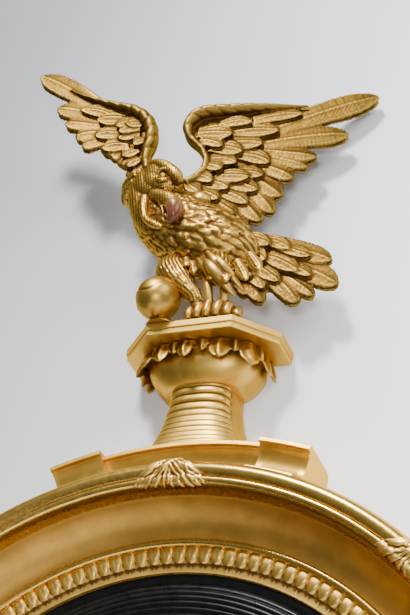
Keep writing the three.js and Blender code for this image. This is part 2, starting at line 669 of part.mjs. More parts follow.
const neckTop = crestTop + NECK_HEIGHT;
const cupBottom = neckTop + FIT;
const cupTop = cupBottom + CUP_HEIGHT;
const slabBottom = cupTop + FIT;
const slabTop = slabBottom + SLAB_THICKNESS;

function neck() {
  const flare = (share, foot) => 1 + (foot - 1) * (1 - share) ** 2.2;
  const form = upright(bowedPlan(NECK_HALF_WIDTH, NECK_FRONT, NECK_CORNER), crestTop - NECK_SCRIBE, neckTop, 6,
    (share) => flare(share, NECK_FLARE), (share) => flare(share, NECK_FRONT_FLARE));
  const spaces = [endlessRound(crestTop + FIT), battenSpace(), ...battenScrews.map(screwHole)];
  return geometryOf(cut(solid(form), ...spaces));
}

// The cup swells fast from its foot, is widest at a third of its height and draws in under the slab.
function cup(grow = 0) {
  const rise = (share) => Math.sin(Math.PI * Math.min(1, 0.12 + 1.15 * share)) ** 0.8;
  const swell = (share) => 0.83 + 0.17 * rise(share) + 0.04 * share;
  const plan = bowedPlan(CUP_HALF_WIDTH + grow, CUP_FRONT + grow, CUP_CORNER);
  return upright(plan, cupBottom - grow, cupTop + 2 * grow, 5, swell, swell);
}

// The slab has a straight front and canted corners.
function slabPlan(inset) {
  const half = SLAB_WIDTH / 2 - inset;
  const frontHalf = SLAB_FRONT_WIDTH / 2 - inset * 0.4;
  const front = SLAB_FRONT - inset;
  const canted = SLAB_FRONT - SLAB_CANT - inset * 0.4;
  const leftHalf = [[-half, 0], [-half, -canted], [-frontHalf, -front]];
  const rightHalf = [...leftHalf].reverse().map(([x, y]) => [-x, y]);
  return new THREE.Shape([...leftHalf, ...rightHalf].map(([x, y]) => new THREE.Vector2(x, y)));
}

function slab() {
  const tier = (inset, bottom, top) => solid(new THREE.ExtrudeGeometry(slabPlan(inset),
    { depth: top - bottom, bevelEnabled: false }).translate(0, 0, bottom));
  const middle = slabBottom + SLAB_THICKNESS / 2;
  const tiers = join(tier(SLAB_STEP, slabBottom, middle + FIT), tier(0, middle, slabTop));
  return geometryOf(cut(tiers, pinSpace()));
}

// A leaf that hangs under the slab and curls out at its tip. Its place follows the bowed front of the cup.
function collarLeaf(index) {
  const angle = rad((180 - COLLAR_SPREAD) / 2 + (COLLAR_SPREAD * (index + 0.5)) / COLLAR_LEAVES);
  const [cosine, sine] = [Math.cos(angle), Math.sin(angle)];
  const squareness = 0.86;
  const leastForward = 0.16;
  const place = [
    Math.sign(cosine) * (CUP_HALF_WIDTH + FIT) * Math.abs(cosine) ** squareness,
    -(CUP_FRONT + FIT) * Math.max(leastForward, sine) ** squareness, cupTop,
  ];
  const out = new THREE.Vector3(cosine, -Math.max(0, sine), 0).normalize();
  const [reach, drop, thick] = [COLLAR_LEAF_REACH, COLLAR_LEAF_DROP, COLLAR_LEAF_THICKNESS];
  const side = new THREE.Shape();
  side.moveTo(FIT, 0);
  side.lineTo(thick, 0);
  side.quadraticCurveTo(thick, -0.55 * drop, reach, -0.78 * drop);
  side.lineTo(reach, -0.9 * drop);
  side.lineTo(reach - 5, -drop);
  side.quadraticCurveTo(1, -0.8 * drop, FIT, 0);
  const leaf = new THREE.ExtrudeGeometry(side,
    { depth: COLLAR_LEAF_WIDTH, bevelEnabled: false, curveSegments: 2 });
  leaf.translate(0, 0, -COLLAR_LEAF_WIDTH / 2);
  return solid(placed(leaf, place, out, UP, new THREE.Vector3().crossVectors(out, UP)));
}

// The collar: leaves on one band round the top of the cup, clear of the cup.
function collar() {
  const plan = bowedPlan(CUP_HALF_WIDTH + COLLAR_BAND, CUP_FRONT + COLLAR_BAND, CUP_CORNER);
  const band = new THREE.ExtrudeGeometry(plan,
    { depth: COLLAR_BAND, bevelEnabled: false, curveSegments: PLAN_SEGMENTS });
  band.translate(0, 0, cupTop - COLLAR_BAND);
  const leaves = Array.from({ length: COLLAR_LEAVES }, (_, i) => collarLeaf(i));
  return geometryOf(cut(join(solid(band), ...leaves), solid(cup(FIT))));
}

// ---------------------------------------------------------------- eagle

// A place on the slab: x, distance behind its front edge and height above its top.
const stand = ([x, behind, height = 0]) => [x, behind - SLAB_FRONT, slabTop + height];

function ellipsoid({ centre, radii, tilt = 0 }, grow = 0, facets = TURNED_SEGMENTS) {
  return solid(new THREE.SphereGeometry(1, facets, facets / 2).scale(...radii.map((radius) => radius + grow))
    .rotateY(rad(tilt)).translate(...stand(centre)));
}

const forms = (list, grow) => join(...list.map((form) => ellipsoid(form, grow)));

// The trunk leans from the breast at the left down to the rump at the right, with the neck on the breast.
const eagleBody = (grow = 0) => forms(TRUNK_FORMS, grow);

// The head looks down to the right, with the hooked beak over the breast.
const eagleHead = (grow = 0) => forms(HEAD_FORMS, grow);

const eagleTail = (grow = 0) => (
  uprightPlate(TAIL_OUTLINE, TAIL_THICKNESS + 2 * grow, stand(TAIL_PLACE), TAIL_TURN));

const eagleWing = ({ shoulder, turn, outline }) => uprightPlate(outline, WING_THICKNESS, stand(shoulder), turn);

// Dowels run from the trunk into the roots of the wings, each a little short of its hole at both ends.
const dowelEnds = (side) => [stand(WINGS[side].dowel.from), stand(WINGS[side].dowel.to)];
const dowelSpace = (side) => solid(rod(...dowelEnds(side), DOWEL_RADIUS + FIT));

function dowel(side) {
  const [start, end] = dowelEnds(side);
  const way = end.map((value, i) => value - start[i]);
  return rod(along(start, way, FIT), along(end, way, -FIT), DOWEL_RADIUS);
}

const middleOf = (a, b) => a.map((value, i) => (value + b[i]) / 2);

// The thighs come down from the trunk, the shanks stand in the feet.
function eagleLeg({ hip, knee, foot, thigh, tilt }) {
  const [x, behind] = foot;
  const small = (form) => ellipsoid(form, 0, TOE_SEGMENTS);
  const toes = [-1, 0, 1].map((way) => small(
    { centre: [x + way * TOE_PITCH, behind - TOE_FORWARD, FIT + TOE[2]], radii: TOE },
  ));
  return join(
    ellipsoid({ centre: middleOf(hip, knee), radii: thigh, tilt }),
    solid(rod(stand(knee), stand([x, behind, ANKLE_HEIGHT]), SHANK_RADIUS)),
    small({ centre: [x, behind, FIT + FOOT_PAD[2]], radii: FOOT_PAD }), ...toes,
  );
}

// The pin stands in the slab and runs up into the right foot.
const [pinX, pinBehind] = LEGS.right.foot;
const pinFloor = PIN_FLOOR - SLAB_THICKNESS;
const pinAt = (height) => stand([pinX, pinBehind, height]);
const pin = (grow = 0) => rod(pinAt(pinFloor - grow), pinAt(PIN_RISE + grow), DOWEL_RADIUS + grow);
const pinSpace = () => solid(pin(FIT));

// The ball rests on a low mound that is carved with it.
function ball(grow = 0) {
  const [x, behind] = BALL_PLACE;
  const neckHeight = BALL_LIFT + MOUND.step + 1;
  const mound = turned([
    new THREE.Vector2(0, 0), new THREE.Vector2(MOUND.radius, 0), new THREE.Vector2(MOUND.shoulder, MOUND.step),
    new THREE.Vector2(MOUND.top, neckHeight), new THREE.Vector2(0, neckHeight),
  ]).rotateX(Math.PI / 2).translate(...stand([x, behind + MOUND.behind, FIT]));
  const round = { centre: [x, behind, BALL_LIFT + BALL_RADIUS], radii: Array(3).fill(BALL_RADIUS) };
  return join(ellipsoid(round, grow), solid(mound));
}

// ---------------------------------------------------------------- candle arms

const swivelBore = SWIVEL_PIN_RADIUS + SWIVEL_CLEARANCE;
const swivelOuter = swivelBore + SWIVEL_WALL;

// Middle of an arm's socket: out from the frame's wall at the bracket's height.
function swivel(side) {
  const [x, , z] = onRound(sign(side) * ARM_ANGLE, FRAME_RADIUS, 0);
  return [x + sign(side) * BRACKET_REACH, -SWIVEL_FORWARD, z];
}

function bracket(side) {
  const [x, y, z] = swivel(side);
  const { length, depth, thickness, middle } = BRACKET_PLATE;
  const [outer, low, high] = [crestSeat + thickness, middle - depth / 2, middle + depth / 2];
  const plateRing = [at(crestSeat, low), at(outer, low), at(outer, high), at(crestSeat, high)];
  const angle = sign(side) * ARM_ANGLE;
  const half = deg(length / 2 / FRAME_RADIUS);
  const plate = solid(turnedRing(plateRing, CREST_SEGMENTS)).intersect(wedge(angle - half, angle + half));
  const [rootX] = onRound(angle, crestSeat + 1, 0);
  const bar = block([Math.abs(x - rootX), BRACKET_BAR, BRACKET_BAR], [(x + rootX) / 2, y, z]);
  const upto = (height, radius) => solid(rod([x, y, z - height], [x, y, z + height], radius, TURNED_SEGMENTS));
  return geometryOf(cut(join(plate, solid(bar), upto(SWIVEL_HEIGHT / 2, swivelOuter)), endlessRound(crestSeat),
    upto(SWIVEL_HEIGHT, swivelBore), screwHole(bracketScrew(side))));
}

// A point of an arm at rest: distance out along it and height above its socket.
function onArm(side, out, rise) {
  const [x, y, z] = swivel(side);
  const [across, forward] = [Math.cos(rad(ARM_REST_ANGLE)), Math.sin(rad(ARM_REST_ANGLE))];
  return [x + sign(side) * across * out, y - forward * out, z + SWIVEL_HEIGHT / 2 + rise];
}

// The arm: a pin in the socket, a collar on it, an S-shaped branch and a bored boss at its end.
function arm(side) {
  const upright = (out, from, to, radius) => solid(rod(onArm(side, out, from), onArm(side, out, to), radius,
    TURNED_SEGMENTS));
  const bossFoot = ARM_RISE - BOSS_HEIGHT;
  const course = [...ARM_COURSE, [ARM_REACH, bossFoot + 2]].map((p) => new THREE.Vector3(...onArm(side, ...p)));
  const section = new THREE.Shape().absarc(0, 0, ARM_RADIUS, 0, 2 * Math.PI, false);
  const branch = new THREE.ExtrudeGeometry(section,
    { extrudePath: new THREE.CatmullRomCurve3(course), steps: 12, curveSegments: 3, bevelEnabled: false });
  const knob = new THREE.SphereGeometry(swivelOuter - 1, SMALL_SEGMENTS, 6);
  knob.translate(...onArm(side, ...ARM_COURSE[0]));
  const spigotHole = upright(ARM_REACH, ARM_RISE - SPIGOT_LENGTH - FIT, ARM_RISE + 1, SPIGOT_RADIUS + FIT);
  return geometryOf(cut(join(
    solid(branch), upright(0, -SWIVEL_HEIGHT - SWIVEL_PIN_BELOW, ARM_COLLAR, SWIVEL_PIN_RADIUS), solid(knob),
    upright(0, FIT, FIT + ARM_COLLAR, swivelOuter), upright(ARM_REACH, bossFoot, ARM_RISE, BOSS_RADIUS),
  ), spigotHole));
}

// A turned piece on the arm's end, with its axis upright: profile points are radius and height.
function onEnd(side, shape, profile) {
  const points = profile.map(([radius, height]) => new THREE.Vector2(radius, height));
  return shape(points, TURNED_SEGMENTS).rotateX(Math.PI / 2)
    .translate(...onArm(side, ARM_REACH, ARM_RISE + FIT));
}

function dripPan(side) {
  const hole = SPIGOT_RADIUS + FIT;
  const flat = PAN_FLAT * PAN_RADIUS;
  const rim = PAN_RADIUS - PAN_WALL;
  return onEnd(side, turnedRing, [
    [hole, 0], [flat, 0], [PAN_RADIUS, PAN_DEPTH - PAN_WALL], [PAN_RADIUS, PAN_DEPTH], [rim, PAN_DEPTH],
    [flat - PAN_WALL, PAN_WALL], [hole, PAN_WALL],
  ]);
}

// The nozzle: spigot through the pan into the boss, waist, and a bored cup with a lip.
function nozzle(side) {
  const outer = CANDLE_RADIUS + NOZZLE_WALL;
  const foot = PAN_WALL + FIT;
  const floor = foot + NOZZLE_FLOOR;
  const top = floor + CANDLE_DEPTH;
  const spigotEnd = -SPIGOT_LENGTH;
  const [lip, lipHeight] = NOZZLE_LIP;
  return onEnd(side, turned, [
    [0, spigotEnd], [SPIGOT_RADIUS, spigotEnd], [SPIGOT_RADIUS, foot], [BOSS_RADIUS + 1, foot],
    [BOSS_RADIUS, foot + 2], [outer, floor], [outer, top - 2 * lipHeight],
    [outer + lip, top - lipHeight], [outer + lip, top], [CANDLE_RADIUS, top], [CANDLE_RADIUS, floor],
    [0, floor],
  ]);
}

// ---------------------------------------------------------------- hangers on the back

const hingeDepth = strapFace - HANGER_CLEARANCE - HANGER_WIRE_RADIUS;
const barrelBore = HANGER_WIRE_RADIUS + HANGER_CLEARANCE;

function hangerStrap(side) {
  const [x, , z] = hangerHinge(side);
  const leaf = block([STRAP.width, STRAP.thickness, STRAP.rise],
    [x, STRAP.thickness / 2 - strapDepth, z + STRAP.rise / 2]);
  const barrel = (radius, half) => solid(rod([x - half, -hingeDepth, z], [x + half, -hingeDepth, z], radius,
    TURNED_SEGMENTS));
  return geometryOf(cut(join(solid(leaf), barrel(barrelBore + BARREL_WALL, STRAP.width / 2)),
    barrel(barrelBore, STRAP.width), screwHole(hangerScrew(side))));
}

// The ring: a bar in the strap's barrel, two short sides and a half round that hangs from them.
function hangerRing(side) {
  const [x, , z] = hangerHinge(side);
  const [radius, wire, drop] = [HANGER_RING_RADIUS, HANGER_WIRE_RADIUS, HANGER_RING_DROP];
  const place = ([across, up]) => [x + across, -hingeDepth, z + up];
  const bar = (from, to) => solid(rod(place(from), place(to), wire));
  const round = new THREE.TorusGeometry(radius, wire, SMALL_SEGMENTS, TURNED_SEGMENTS).rotateX(Math.PI / 2)
    .translate(x, -hingeDepth, z - drop);
  const lower = solid(block([4 * radius, 4 * radius, 2 * radius], [x, -hingeDepth, z - drop - radius]));
  return geometryOf(join(
    solid(round).intersect(lower), bar([-radius, 0], [radius, 0]),
    bar([-radius, wire], [-radius, -drop - FIT]), bar([radius, wire], [radius, -drop - FIT]),
  ));
}

// ---------------------------------------------------------------- assembly

add('carcase_ring', carcaseRing(), burnishedGold());
add('outer_moulding', outerMoulding(), burnishedGold());
add('astragal_ring', astragal(), burnishedGold());
add('leaf_tip_band', leafTipBand(), burnishedGold());
add('reeded_slip', reededSlip(), ebonised());
add('mirror_glass', mirrorGlass(), silvered());
for (let i = 0; i < GLAZING_BLOCKS; i += 1) {
  add(`glazing_block_${i + 1}`, glazingBlock((i * 360) / GLAZING_BLOCKS), pine());
}
add('backboard', backboard(), pine());
backboardScrews.forEach((place, i) => add(`backboard_screw_${i + 1}`, screw(place), iron()));
for (let i = 0; i < TIES; i += 1) {
  add(`leaf_tie_${i + 1}`, geometryOf(tie(TIE_FIRST_ANGLE + (i * 360) / TIES)), carvedGold());
}

add('crest_rail', crestRail(), burnishedGold());
for (const side of SIDES) add(`crest_block_${side}`, crestBlock(side), burnishedGold());
add('crest_neck', neck(), burnishedGold());
add('crest_cup', cup(), burnishedGold());
add('crest_slab', slab(), burnishedGold());
add('crest_collar', collar(), carvedGold());
add('crest_batten', batten(), pine());
battenScrews.forEach((place, i) => add(`batten_screw_${i + 1}`, screw(place), iron()));

const dowelHoles = SIDES.map(dowelSpace);
const bodyRoom = eagleBody(FIT);
const headRoom = eagleHead(FIT);
const tailRoom = eagleTail(FIT);
const legRoom = [bodyRoom, tailRoom, ball(FIT), pinSpace()];
add('eagle_body', geometryOf(cut(eagleBody(), ...dowelHoles)), carvedGold());
add('eagle_head', geometryOf(cut(eagleHead(), bodyRoom)), carvedGold());
add('eagle_tail', geometryOf(cut(eagleTail(), bodyRoom)), carvedGold());
for (const side of SIDES) {
  const wing = cut(eagleWing(WINGS[side]), bodyRoom, headRoom, tailRoom, ...dowelHoles);
  add(`eagle_wing_${side}`, geometryOf(wing), carvedGold());
  add(`eagle_leg_${side}`, geometryOf(cut(eagleLeg(LEGS[side]), ...legRoom)), carvedGold());
  add(`wing_dowel_${side}`, dowel(side), pine());
}
add('carved_ball', geometryOf(ball()), carvedGold());
add('eagle_pin', pin(), iron());

for (const side of SIDES) {
  add(`arm_bracket_${side}`, bracket(side), brass());
  add(`candle_arm_${side}`, arm(side), brass());
  add(`drip_pan_${side}`, dripPan(side), brass());
  add(`candle_nozzle_${side}`, nozzle(side), brass());
  add(`bracket_screw_${side}`, screw(bracketScrew(side)), brass());
  add(`hanger_strap_${side}`, hangerStrap(side), brass());
  add(`hanger_ring_${side}`, hangerRing(side), brass());
  add(`hanger_screw_${side}`, screw(hangerScrew(side)), brass());
}

export default group;
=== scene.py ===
"""Girandole mirror: a round convex mirror in a gilded ring, with an eagle crest and two candle arms.

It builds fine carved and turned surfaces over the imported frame, with materials, a studio and the photo's
camera. Lengths inside the operators are millimetres in the frame's axes: X right, Y back to the wall, Z up.
"""

import math

import bmesh
import bpy
import numpy as np
from mathutils import Matrix


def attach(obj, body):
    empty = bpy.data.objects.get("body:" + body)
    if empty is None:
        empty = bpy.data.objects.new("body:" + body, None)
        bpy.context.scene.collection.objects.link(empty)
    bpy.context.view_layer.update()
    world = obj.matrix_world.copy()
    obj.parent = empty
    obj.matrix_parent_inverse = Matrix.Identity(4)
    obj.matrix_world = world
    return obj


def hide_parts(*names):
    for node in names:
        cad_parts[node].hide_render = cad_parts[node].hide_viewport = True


bl_info = {
    "name": "Girandole mirror",
    "version": (1, 0, 0),
    "blender": (4, 5, 0),
    "location": "3D View > Sidebar > Girandole",
    "description": "Builds the carved and turned surfaces, materials and studio of a girandole mirror",
    "category": "Object",
}

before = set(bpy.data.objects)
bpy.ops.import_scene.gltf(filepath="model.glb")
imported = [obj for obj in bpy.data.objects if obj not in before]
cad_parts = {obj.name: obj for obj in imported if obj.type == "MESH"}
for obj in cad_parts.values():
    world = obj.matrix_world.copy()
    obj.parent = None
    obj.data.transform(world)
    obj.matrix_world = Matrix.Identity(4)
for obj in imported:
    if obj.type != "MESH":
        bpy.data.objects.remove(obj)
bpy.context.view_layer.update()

MM = 0.001
SIDES = (("left", -1.0), ("right", 1.0))

# Ring sections: radius and depth in front of the wall.
COVE_CENTRE, COVE_SIZE = (275.2, 77.3), (30.3, 42.5)
TORUS, TORUS_R = (322.0, 79.0), 8.5
BEAD, BEAD_R = (311.8, 82.0), 4.2
RING_DEPTH, ORNAMENT_SEAT, SIGHT = 67.7, 33.8, 245.3
LEAF_BAND = (267.6, 253.0)
TIE_FIRST, TIES = 1.5, 8
CREST_TOP, CREST_SEAT = 372.0, 324.3
SLAB_TOP, SLAB_FRONT = 491.4, 75.9

# Radii of the glass's sphere and of its edge.
GLASS_SPHERE, GLASS_EDGE = 832.5, 235.5

# Places round the ring, in degrees from the top, and how far an arm reaches from its socket.
HANGER_ANGLE, HANGER_RADIUS, HINGE_DEPTH = 52.0, 292.0, 7.3
ARM_ANGLE, ARM_REACH, ARM_FORWARD = 118.0, 104.0, 45.0

# Wings and tail: origin and direction in plan, then rows of feathers (tip, base, half width) as (across, up)
# on the plane, each row with its rise at base and tip.
WINGS = {
    "right": {
        "origin": (-18.0, -58.0), "turn": (0.962, 0.272), "front": 1.0,
        "core": [(-4, 224), (-16, 242), (-22, 256), (-21, 270), (-10, 281), (40, 290), (88, 299.5),
                 (118, 303), (116, 284), (104, 262), (92, 240), (82, 220), (72, 202), (64, 184),
                 (56, 166), (46, 150),
                 (24, 146), (2, 156), (-14, 178), (-6, 190), (2, 200), (3, 212)],
        "roll": [(104, 295.5), (89.5, 293.3), (64.6, 291.2), (39.6, 288.4), (20.2, 285), (2.2, 282.4),
                 (-11.3, 277.5), (-19.3, 267.7), (-21.4, 255.5), (-16.3, 242.8), (-6, 232.3), (0.7, 221.7),
                 (3.3, 211), (1.8, 200.2), (-5.1, 189.2), (-14.9, 179.9)],
        "roll_radius": [1.0, 2.2, 4.0, 5.2, 6.0, 6.5, 6.7, 6.2, 5.4, 4.3, 3.8, 3.8, 4.0, 4.2, 4.6, 5.2],
        "rows": [
            {"rise": (0, 2.4),
             "leaves": [((178.4, 314.5), (58.7, 259.0), 17.5), ((149.5, 259.5), (49.3, 241.0), 15.5),
                        ((118.4, 226.7), (50.2, 235.2), 11.5), ((109.9, 212.4), (51.1, 226.2), 10.2),
                        ((95.8, 197.0), (49.2, 217.1), 12.5), ((85.9, 172.2), (43.6, 204.3), 12.8),
                        ((78.9, 148.9), (36.2, 196.9), 11.0), ((67.5, 137.8), (26.7, 184.0), 12.5),
                        ((52.5, 129.4), (15.3, 176.5), 10.9), ((38, 126), (6, 168), 10.2)]},
            {"rise": (3, 5.6),
             "leaves": [((99.0, 284.5), (46.6, 273.5), 10.6), ((76.3, 260.3), (25.9, 257.1), 12.5),
                        ((60.9, 241.3), (17.8, 242.0), 13.3), ((70.1, 214.6), (33.4, 225.4), 11.9),
                        ((65.5, 197.5), (31.5, 203.8), 10.5), ((61.3, 177.1), (23.6, 188.4), 11.9),
                        ((52.4, 158.5), (18.2, 175.8), 11.1), ((41.8, 144.2), (8.3, 167.5), 10.8),
                        ((26, 136), (-4, 164), 10.8)]},
            {"rise": (5, 8),
             "leaves": [((46.9, 268.2), (11.5, 264.0), 9.3), ((27.7, 251.7), (-10.8, 252.0), 13.6),
                        ((40.3, 226.7), (5.2, 232.4), 12.2), ((36.3, 211.3), (5.2, 216.4), 10.2),
                        ((50.8, 192.5), (14.8, 194.6), 11.9), ((31.1, 176.5), (0.7, 184.1), 11.0),
                        ((22.6, 161.3), (-6.8, 174.5), 11.0), ((6, 152), (-16, 170), 10.2)]},
            {"rise": (7, 10),
             "leaves": [((19.2, 231.2), (-7.1, 240.4), 9.2), ((22.5, 200.8), (0.7, 208.1), 9.5),
                        ((13.6, 182.7), (-7.6, 189.5), 9.5), ((2, 167), (-16, 180), 9.2)]},
        ],
    },
    "left": {
        "origin": (-77.0, -58.0), "turn": (-0.985, -0.174), "front": -1.0,
        "core": [(6, 224), (5, 244), (6, 262), (10, 278), (22, 292), (42, 303), (66, 312), (92, 325),
                 (116, 342), (110, 326), (98, 306), (88, 288), (76, 272), (62, 258), (48, 248),
                 (34, 234), (20, 214),
                 (10, 200), (4, 206)],
        "roll": [(108, 333.5), (92.6, 323.8), (66.9, 312), (48.1, 304.6), (32.6, 298.7), (19.6, 289.2),
                 (10.2, 277.4), (5.6, 264.8), (4.9, 249.9), (7.2, 235.4), (6.3, 222), (4, 212)],
        "roll_radius": [0.9, 1.8, 3.4, 4.6, 5.8, 6.9, 7.4, 7.6, 7.0, 5.6, 4.8, 4.6],
        "rows": [
            {"rise": (0, 2.4),
             "leaves": [((148.8, 359.8), (66.3, 305.0), 15.3), ((120.6, 308.4), (68.2, 292.4), 14.3),
                        ((108.2, 286.3), (62.6, 281.0), 11.9), ((93.3, 265.1), (55.1, 270.9), 13.2),
                        ((84.0, 250.6), (51.6, 260.4), 11.1), ((56.9, 238.4), (43.1, 255.1), 11.4),
                        ((46.6, 230.7), (34.1, 246.0), 9.8), ((32.9, 219.2), (26.1, 237.1), 9.8),
                        ((19.3, 203.7), (16.6, 224.6), 9.8)]},
            {"rise": (3, 5.6),
             "leaves": [((92, 303), (52, 292), 10.2), ((70.7, 287.3), (38.1, 289.3), 13.9),
                        ((43.6, 258.3), (20.3, 268.3), 10.7), ((58.9, 244.6), (30.0, 249.8), 12.2),
                        ((35.5, 233.3), (17.5, 243.2), 9.9), ((27.4, 217.3), (14.8, 230.9), 9.6),
                        ((70, 264), (40, 266), 11.6)]},
            {"rise": (5, 8),
             "leaves": [((43.1, 265.8), (20.2, 272.5), 9.6), ((36.1, 278.5), (18.1, 277.4), 8.1),
                        ((48, 274), (22, 284), 9.0), ((24, 246), (10, 256), 8.1)]},
        ],
    },
}
TAIL = {
    "origin": (0.0, -54.9), "turn": (0.987, 0.158), "front": 1.0,
    "core": [(10, 138), (36, 128), (56, 112), (84, 96), (104, 82), (112, 62), (100, 48), (84, 44), (60, 44),
             (44, 46), (30, 60), (10, 80)],
    "rows": [
        {"rise": (0, 2.6),
         "leaves": [((126.7, 80.4), (40.6, 112.1), 13.5), ((134.1, 50.6), (60.9, 89.0), 15.0),
                    ((111.2, 37.8), (79.1, 66.5), 8.5), ((96.2, 30.0), (55.1, 76.0), 12.5),
                    ((85.2, 36.4), (52.0, 71.7), 8.2), ((61.9, 31.8), (36.2, 67.8), 9.5),
                    ((51.7, 38.3), (32.4, 70.1), 8.2), ((44, 40), (22, 74), 7.5)]},
        {"rise": (3, 5.6),
         "leaves": [((84.3, 94.1), (46.8, 109.5), 9.7), ((94.6, 66.2), (57.8, 89.0), 11.6),
                    ((77.2, 53.7), (44.2, 80.6), 10.3), ((62.3, 45.4), (34.3, 74.1), 9.5),
                    ((106, 84), (72, 98), 8.9), ((108, 60), (78, 76), 8.6)]},
        {"rise": (5, 8),
         "leaves": [((61.3, 78.7), (30.1, 97.3), 11.6), ((50.4, 59.5), (26.7, 79.7), 10.3),
                    ((64, 98), (30, 112), 10.3), ((40, 90), (12, 108), 10.8)]},
    ],
}

# Trunk: points of its axis from rump to neck, with its half thickness to the front and across, and the length
# round it that makes one radian.
TRUNK_AXIS = [(50, -50, 570), (34, -54, 579), (8, -58, 592), (-20, -60, 609), (-44, -61, 630),
              (-60, -62, 650), (-70, -63, 668), (-68, -68, 680)]
TRUNK_FRONT = [9, 24, 32, 33, 29, 22, 18, 10]
TRUNK_ACROSS = [9, 26, 35, 37, 35, 29, 22, 12]
TRUNK_TURN = 32.0


# ---------------------------------------------------------------- surfaces

def smooth(points, count, closed=False):
    """Catmull-Rom curve through points p: 0.5 (2 p1 + (p2 - p0) t + (2 p0 - 5 p1 + 4 p2 - p3) t^2
    + (3 p1 - p0 - 3 p2 + p3) t^3) on each span."""
    p = np.asarray(points, float).reshape(len(points), -1)
    if closed:
        p = np.concatenate([p[-1:], p, p[:2]])
    else:
        p = np.concatenate([2 * p[:1] - p[1:2], p, 2 * p[-1:] - p[-2:-1]])
    spans = len(p) - 3
    s = np.linspace(0, spans, count, endpoint=not closed)
    k = np.minimum(s.astype(int), spans - 1)
    t = (s - k)[:, None]
    a, b, c, d = (p[k + j] for j in range(4))
    return 0.5 * (2 * b + (c - a) * t + (2 * a - 5 * b + 4 * c - d) * t ** 2
                  + (3 * b - a - 3 * c + d) * t ** 3)


def unit(v):
    """Vectors scaled to length one: v / |v|."""
    return v / np.maximum(np.linalg.norm(v, axis=-1, keepdims=True), 1e-9)


def along(line):
    """Distance along a line to each of its points: the sum of |p(i + 1) - p(i)| up to there."""
    return np.concatenate([[0], np.cumsum(np.linalg.norm(np.diff(line, axis=0), axis=1))])


def evenly(values, count):
    """Values at even steps carried to a count of even steps, straight between them."""
    return np.interp(np.linspace(0, 1, count), np.linspace(0, 1, len(values)), values)


def tube(lattice, ring=False):
    """Faces over a lattice (..., rows, columns, 3) whose columns close; rows close too with ring, else the
    first and last row are capped."""
    p = np.asarray(lattice, float)
    p = p.reshape((-1,) + p.shape[-3:])
    n, rows, columns = p.shape[:3]
    k = np.arange(n * rows * columns).reshape(n, rows, columns)
    a, b = (k, np.roll(k, -1, 1)) if ring else (k[:, :-1], k[:, 1:])
    faces = [np.stack([a, np.roll(a, -1, 2), np.roll(b, -1, 2), b], -1).reshape(-1, 4)]
    if not ring:
        faces += [k[:, 0, ::-1].reshape(-1, columns), k[:, -1].reshape(-1, columns)]
    return p.reshape(-1, 3), faces


def turned_ring(profile, start=0.0, end=360.0, steps=288):
    """A closed profile (radius r, depth d) turned about the Y axis: (r sin a, -d, r cos a), a from the top
    to the right."""
    full = abs(end - start) >= 359.999
    a = np.radians(np.linspace(start, end, steps + (not full), endpoint=not full))[:, None]
    r, d = np.asarray(profile, float).T
    return tube(np.stack([r * np.sin(a), -d + 0 * a, r * np.cos(a)], -1), ring=full)


def spun(profile, centre, steps=48, ring=False, axis="Z"):
    """A profile (radius r, height h) turned about an axis through c: c + (r cos a, r sin a, h) about Z,
    c + (r cos a, h, r sin a) about Y and c + (h, r cos a, r sin a) about X."""
    a = np.linspace(0, 2 * np.pi, steps, endpoint=False)
    r, h = np.asarray(profile, float).T[:, :, None]
    r = np.maximum(r, 0.02)
    parts = (r * np.cos(a), r * np.sin(a), h + 0 * a)
    order = {"X": (2, 0, 1), "Y": (0, 2, 1), "Z": (0, 1, 2)}[axis]
    return tube(np.stack([parts[k] for k in order], -1) + np.asarray(centre, float), ring)


def arc(centre, radius, start, end, count):
    """Points of an arc of a profile: c + R (cos a, sin a), R one radius or two semi-axes."""
    a = np.radians(np.linspace(start, end, count))[:, None]
    return np.asarray(centre) + np.asarray(radius) * np.concatenate([np.cos(a), np.sin(a)], 1)


def frames(path, reference=(0, 1, 0)):
    """Cross directions along a path: t = c', n = t x reference and b = n x t."""
    t = unit(np.gradient(path, axis=0))
    n = unit(np.cross(t, np.asarray(reference, float)))
    return n, np.cross(n, t)


def swept(path, radii, columns=16, flat=1.0, reference=(0, 1, 0)):
    """A round bar along a path: c(s) + r(s, a) (cos a n + flat sin a b)."""
    c = np.asarray(path, float)
    n, b = frames(c, reference)
    a = np.linspace(0, 2 * np.pi, columns, endpoint=False)[None, :, None]
    r = np.asarray(radii, float).reshape(len(c) if np.size(radii) > 1 else 1, -1)[..., None]
    return tube(c[:, None] + r * (np.cos(a) * n[:, None] + flat * np.sin(a) * b[:, None]))


def strands(path, radii, count, start, end, thick, flare=2.0, flat=1.0, turn=0.0):
    """Fine feathers that lie along a swept form: c(u) + (r(u) + flare w^4) (cos g n + flat sin g b), u from
    start to end with w from 0 to 1, each a round bar of radius 0.15 + thick sin^0.7(pi (0.15 + 0.85 w))."""
    c = np.asarray(path, float)
    n, b = frames(c)
    w = np.linspace(0, 1, 24)
    u = (start + (end - start) * w) * (len(c) - 1)
    index = np.arange(len(c))
    c, n, b = (np.stack([np.interp(u, index, column) for column in rows.T], 1) for rows in (c, n, b))
    r = (np.interp(u, index, radii) + flare * w ** 4)[:, None]
    parts = []
    for g in np.linspace(0, 2 * np.pi, count, endpoint=False) + turn:
        line = c + r * (math.cos(g) * n + flat * math.sin(g) * b)
        parts.append(swept(line, thick * np.sin(np.pi * (0.15 + 0.85 * w)) ** 0.7 + 0.15, 10))
    return parts


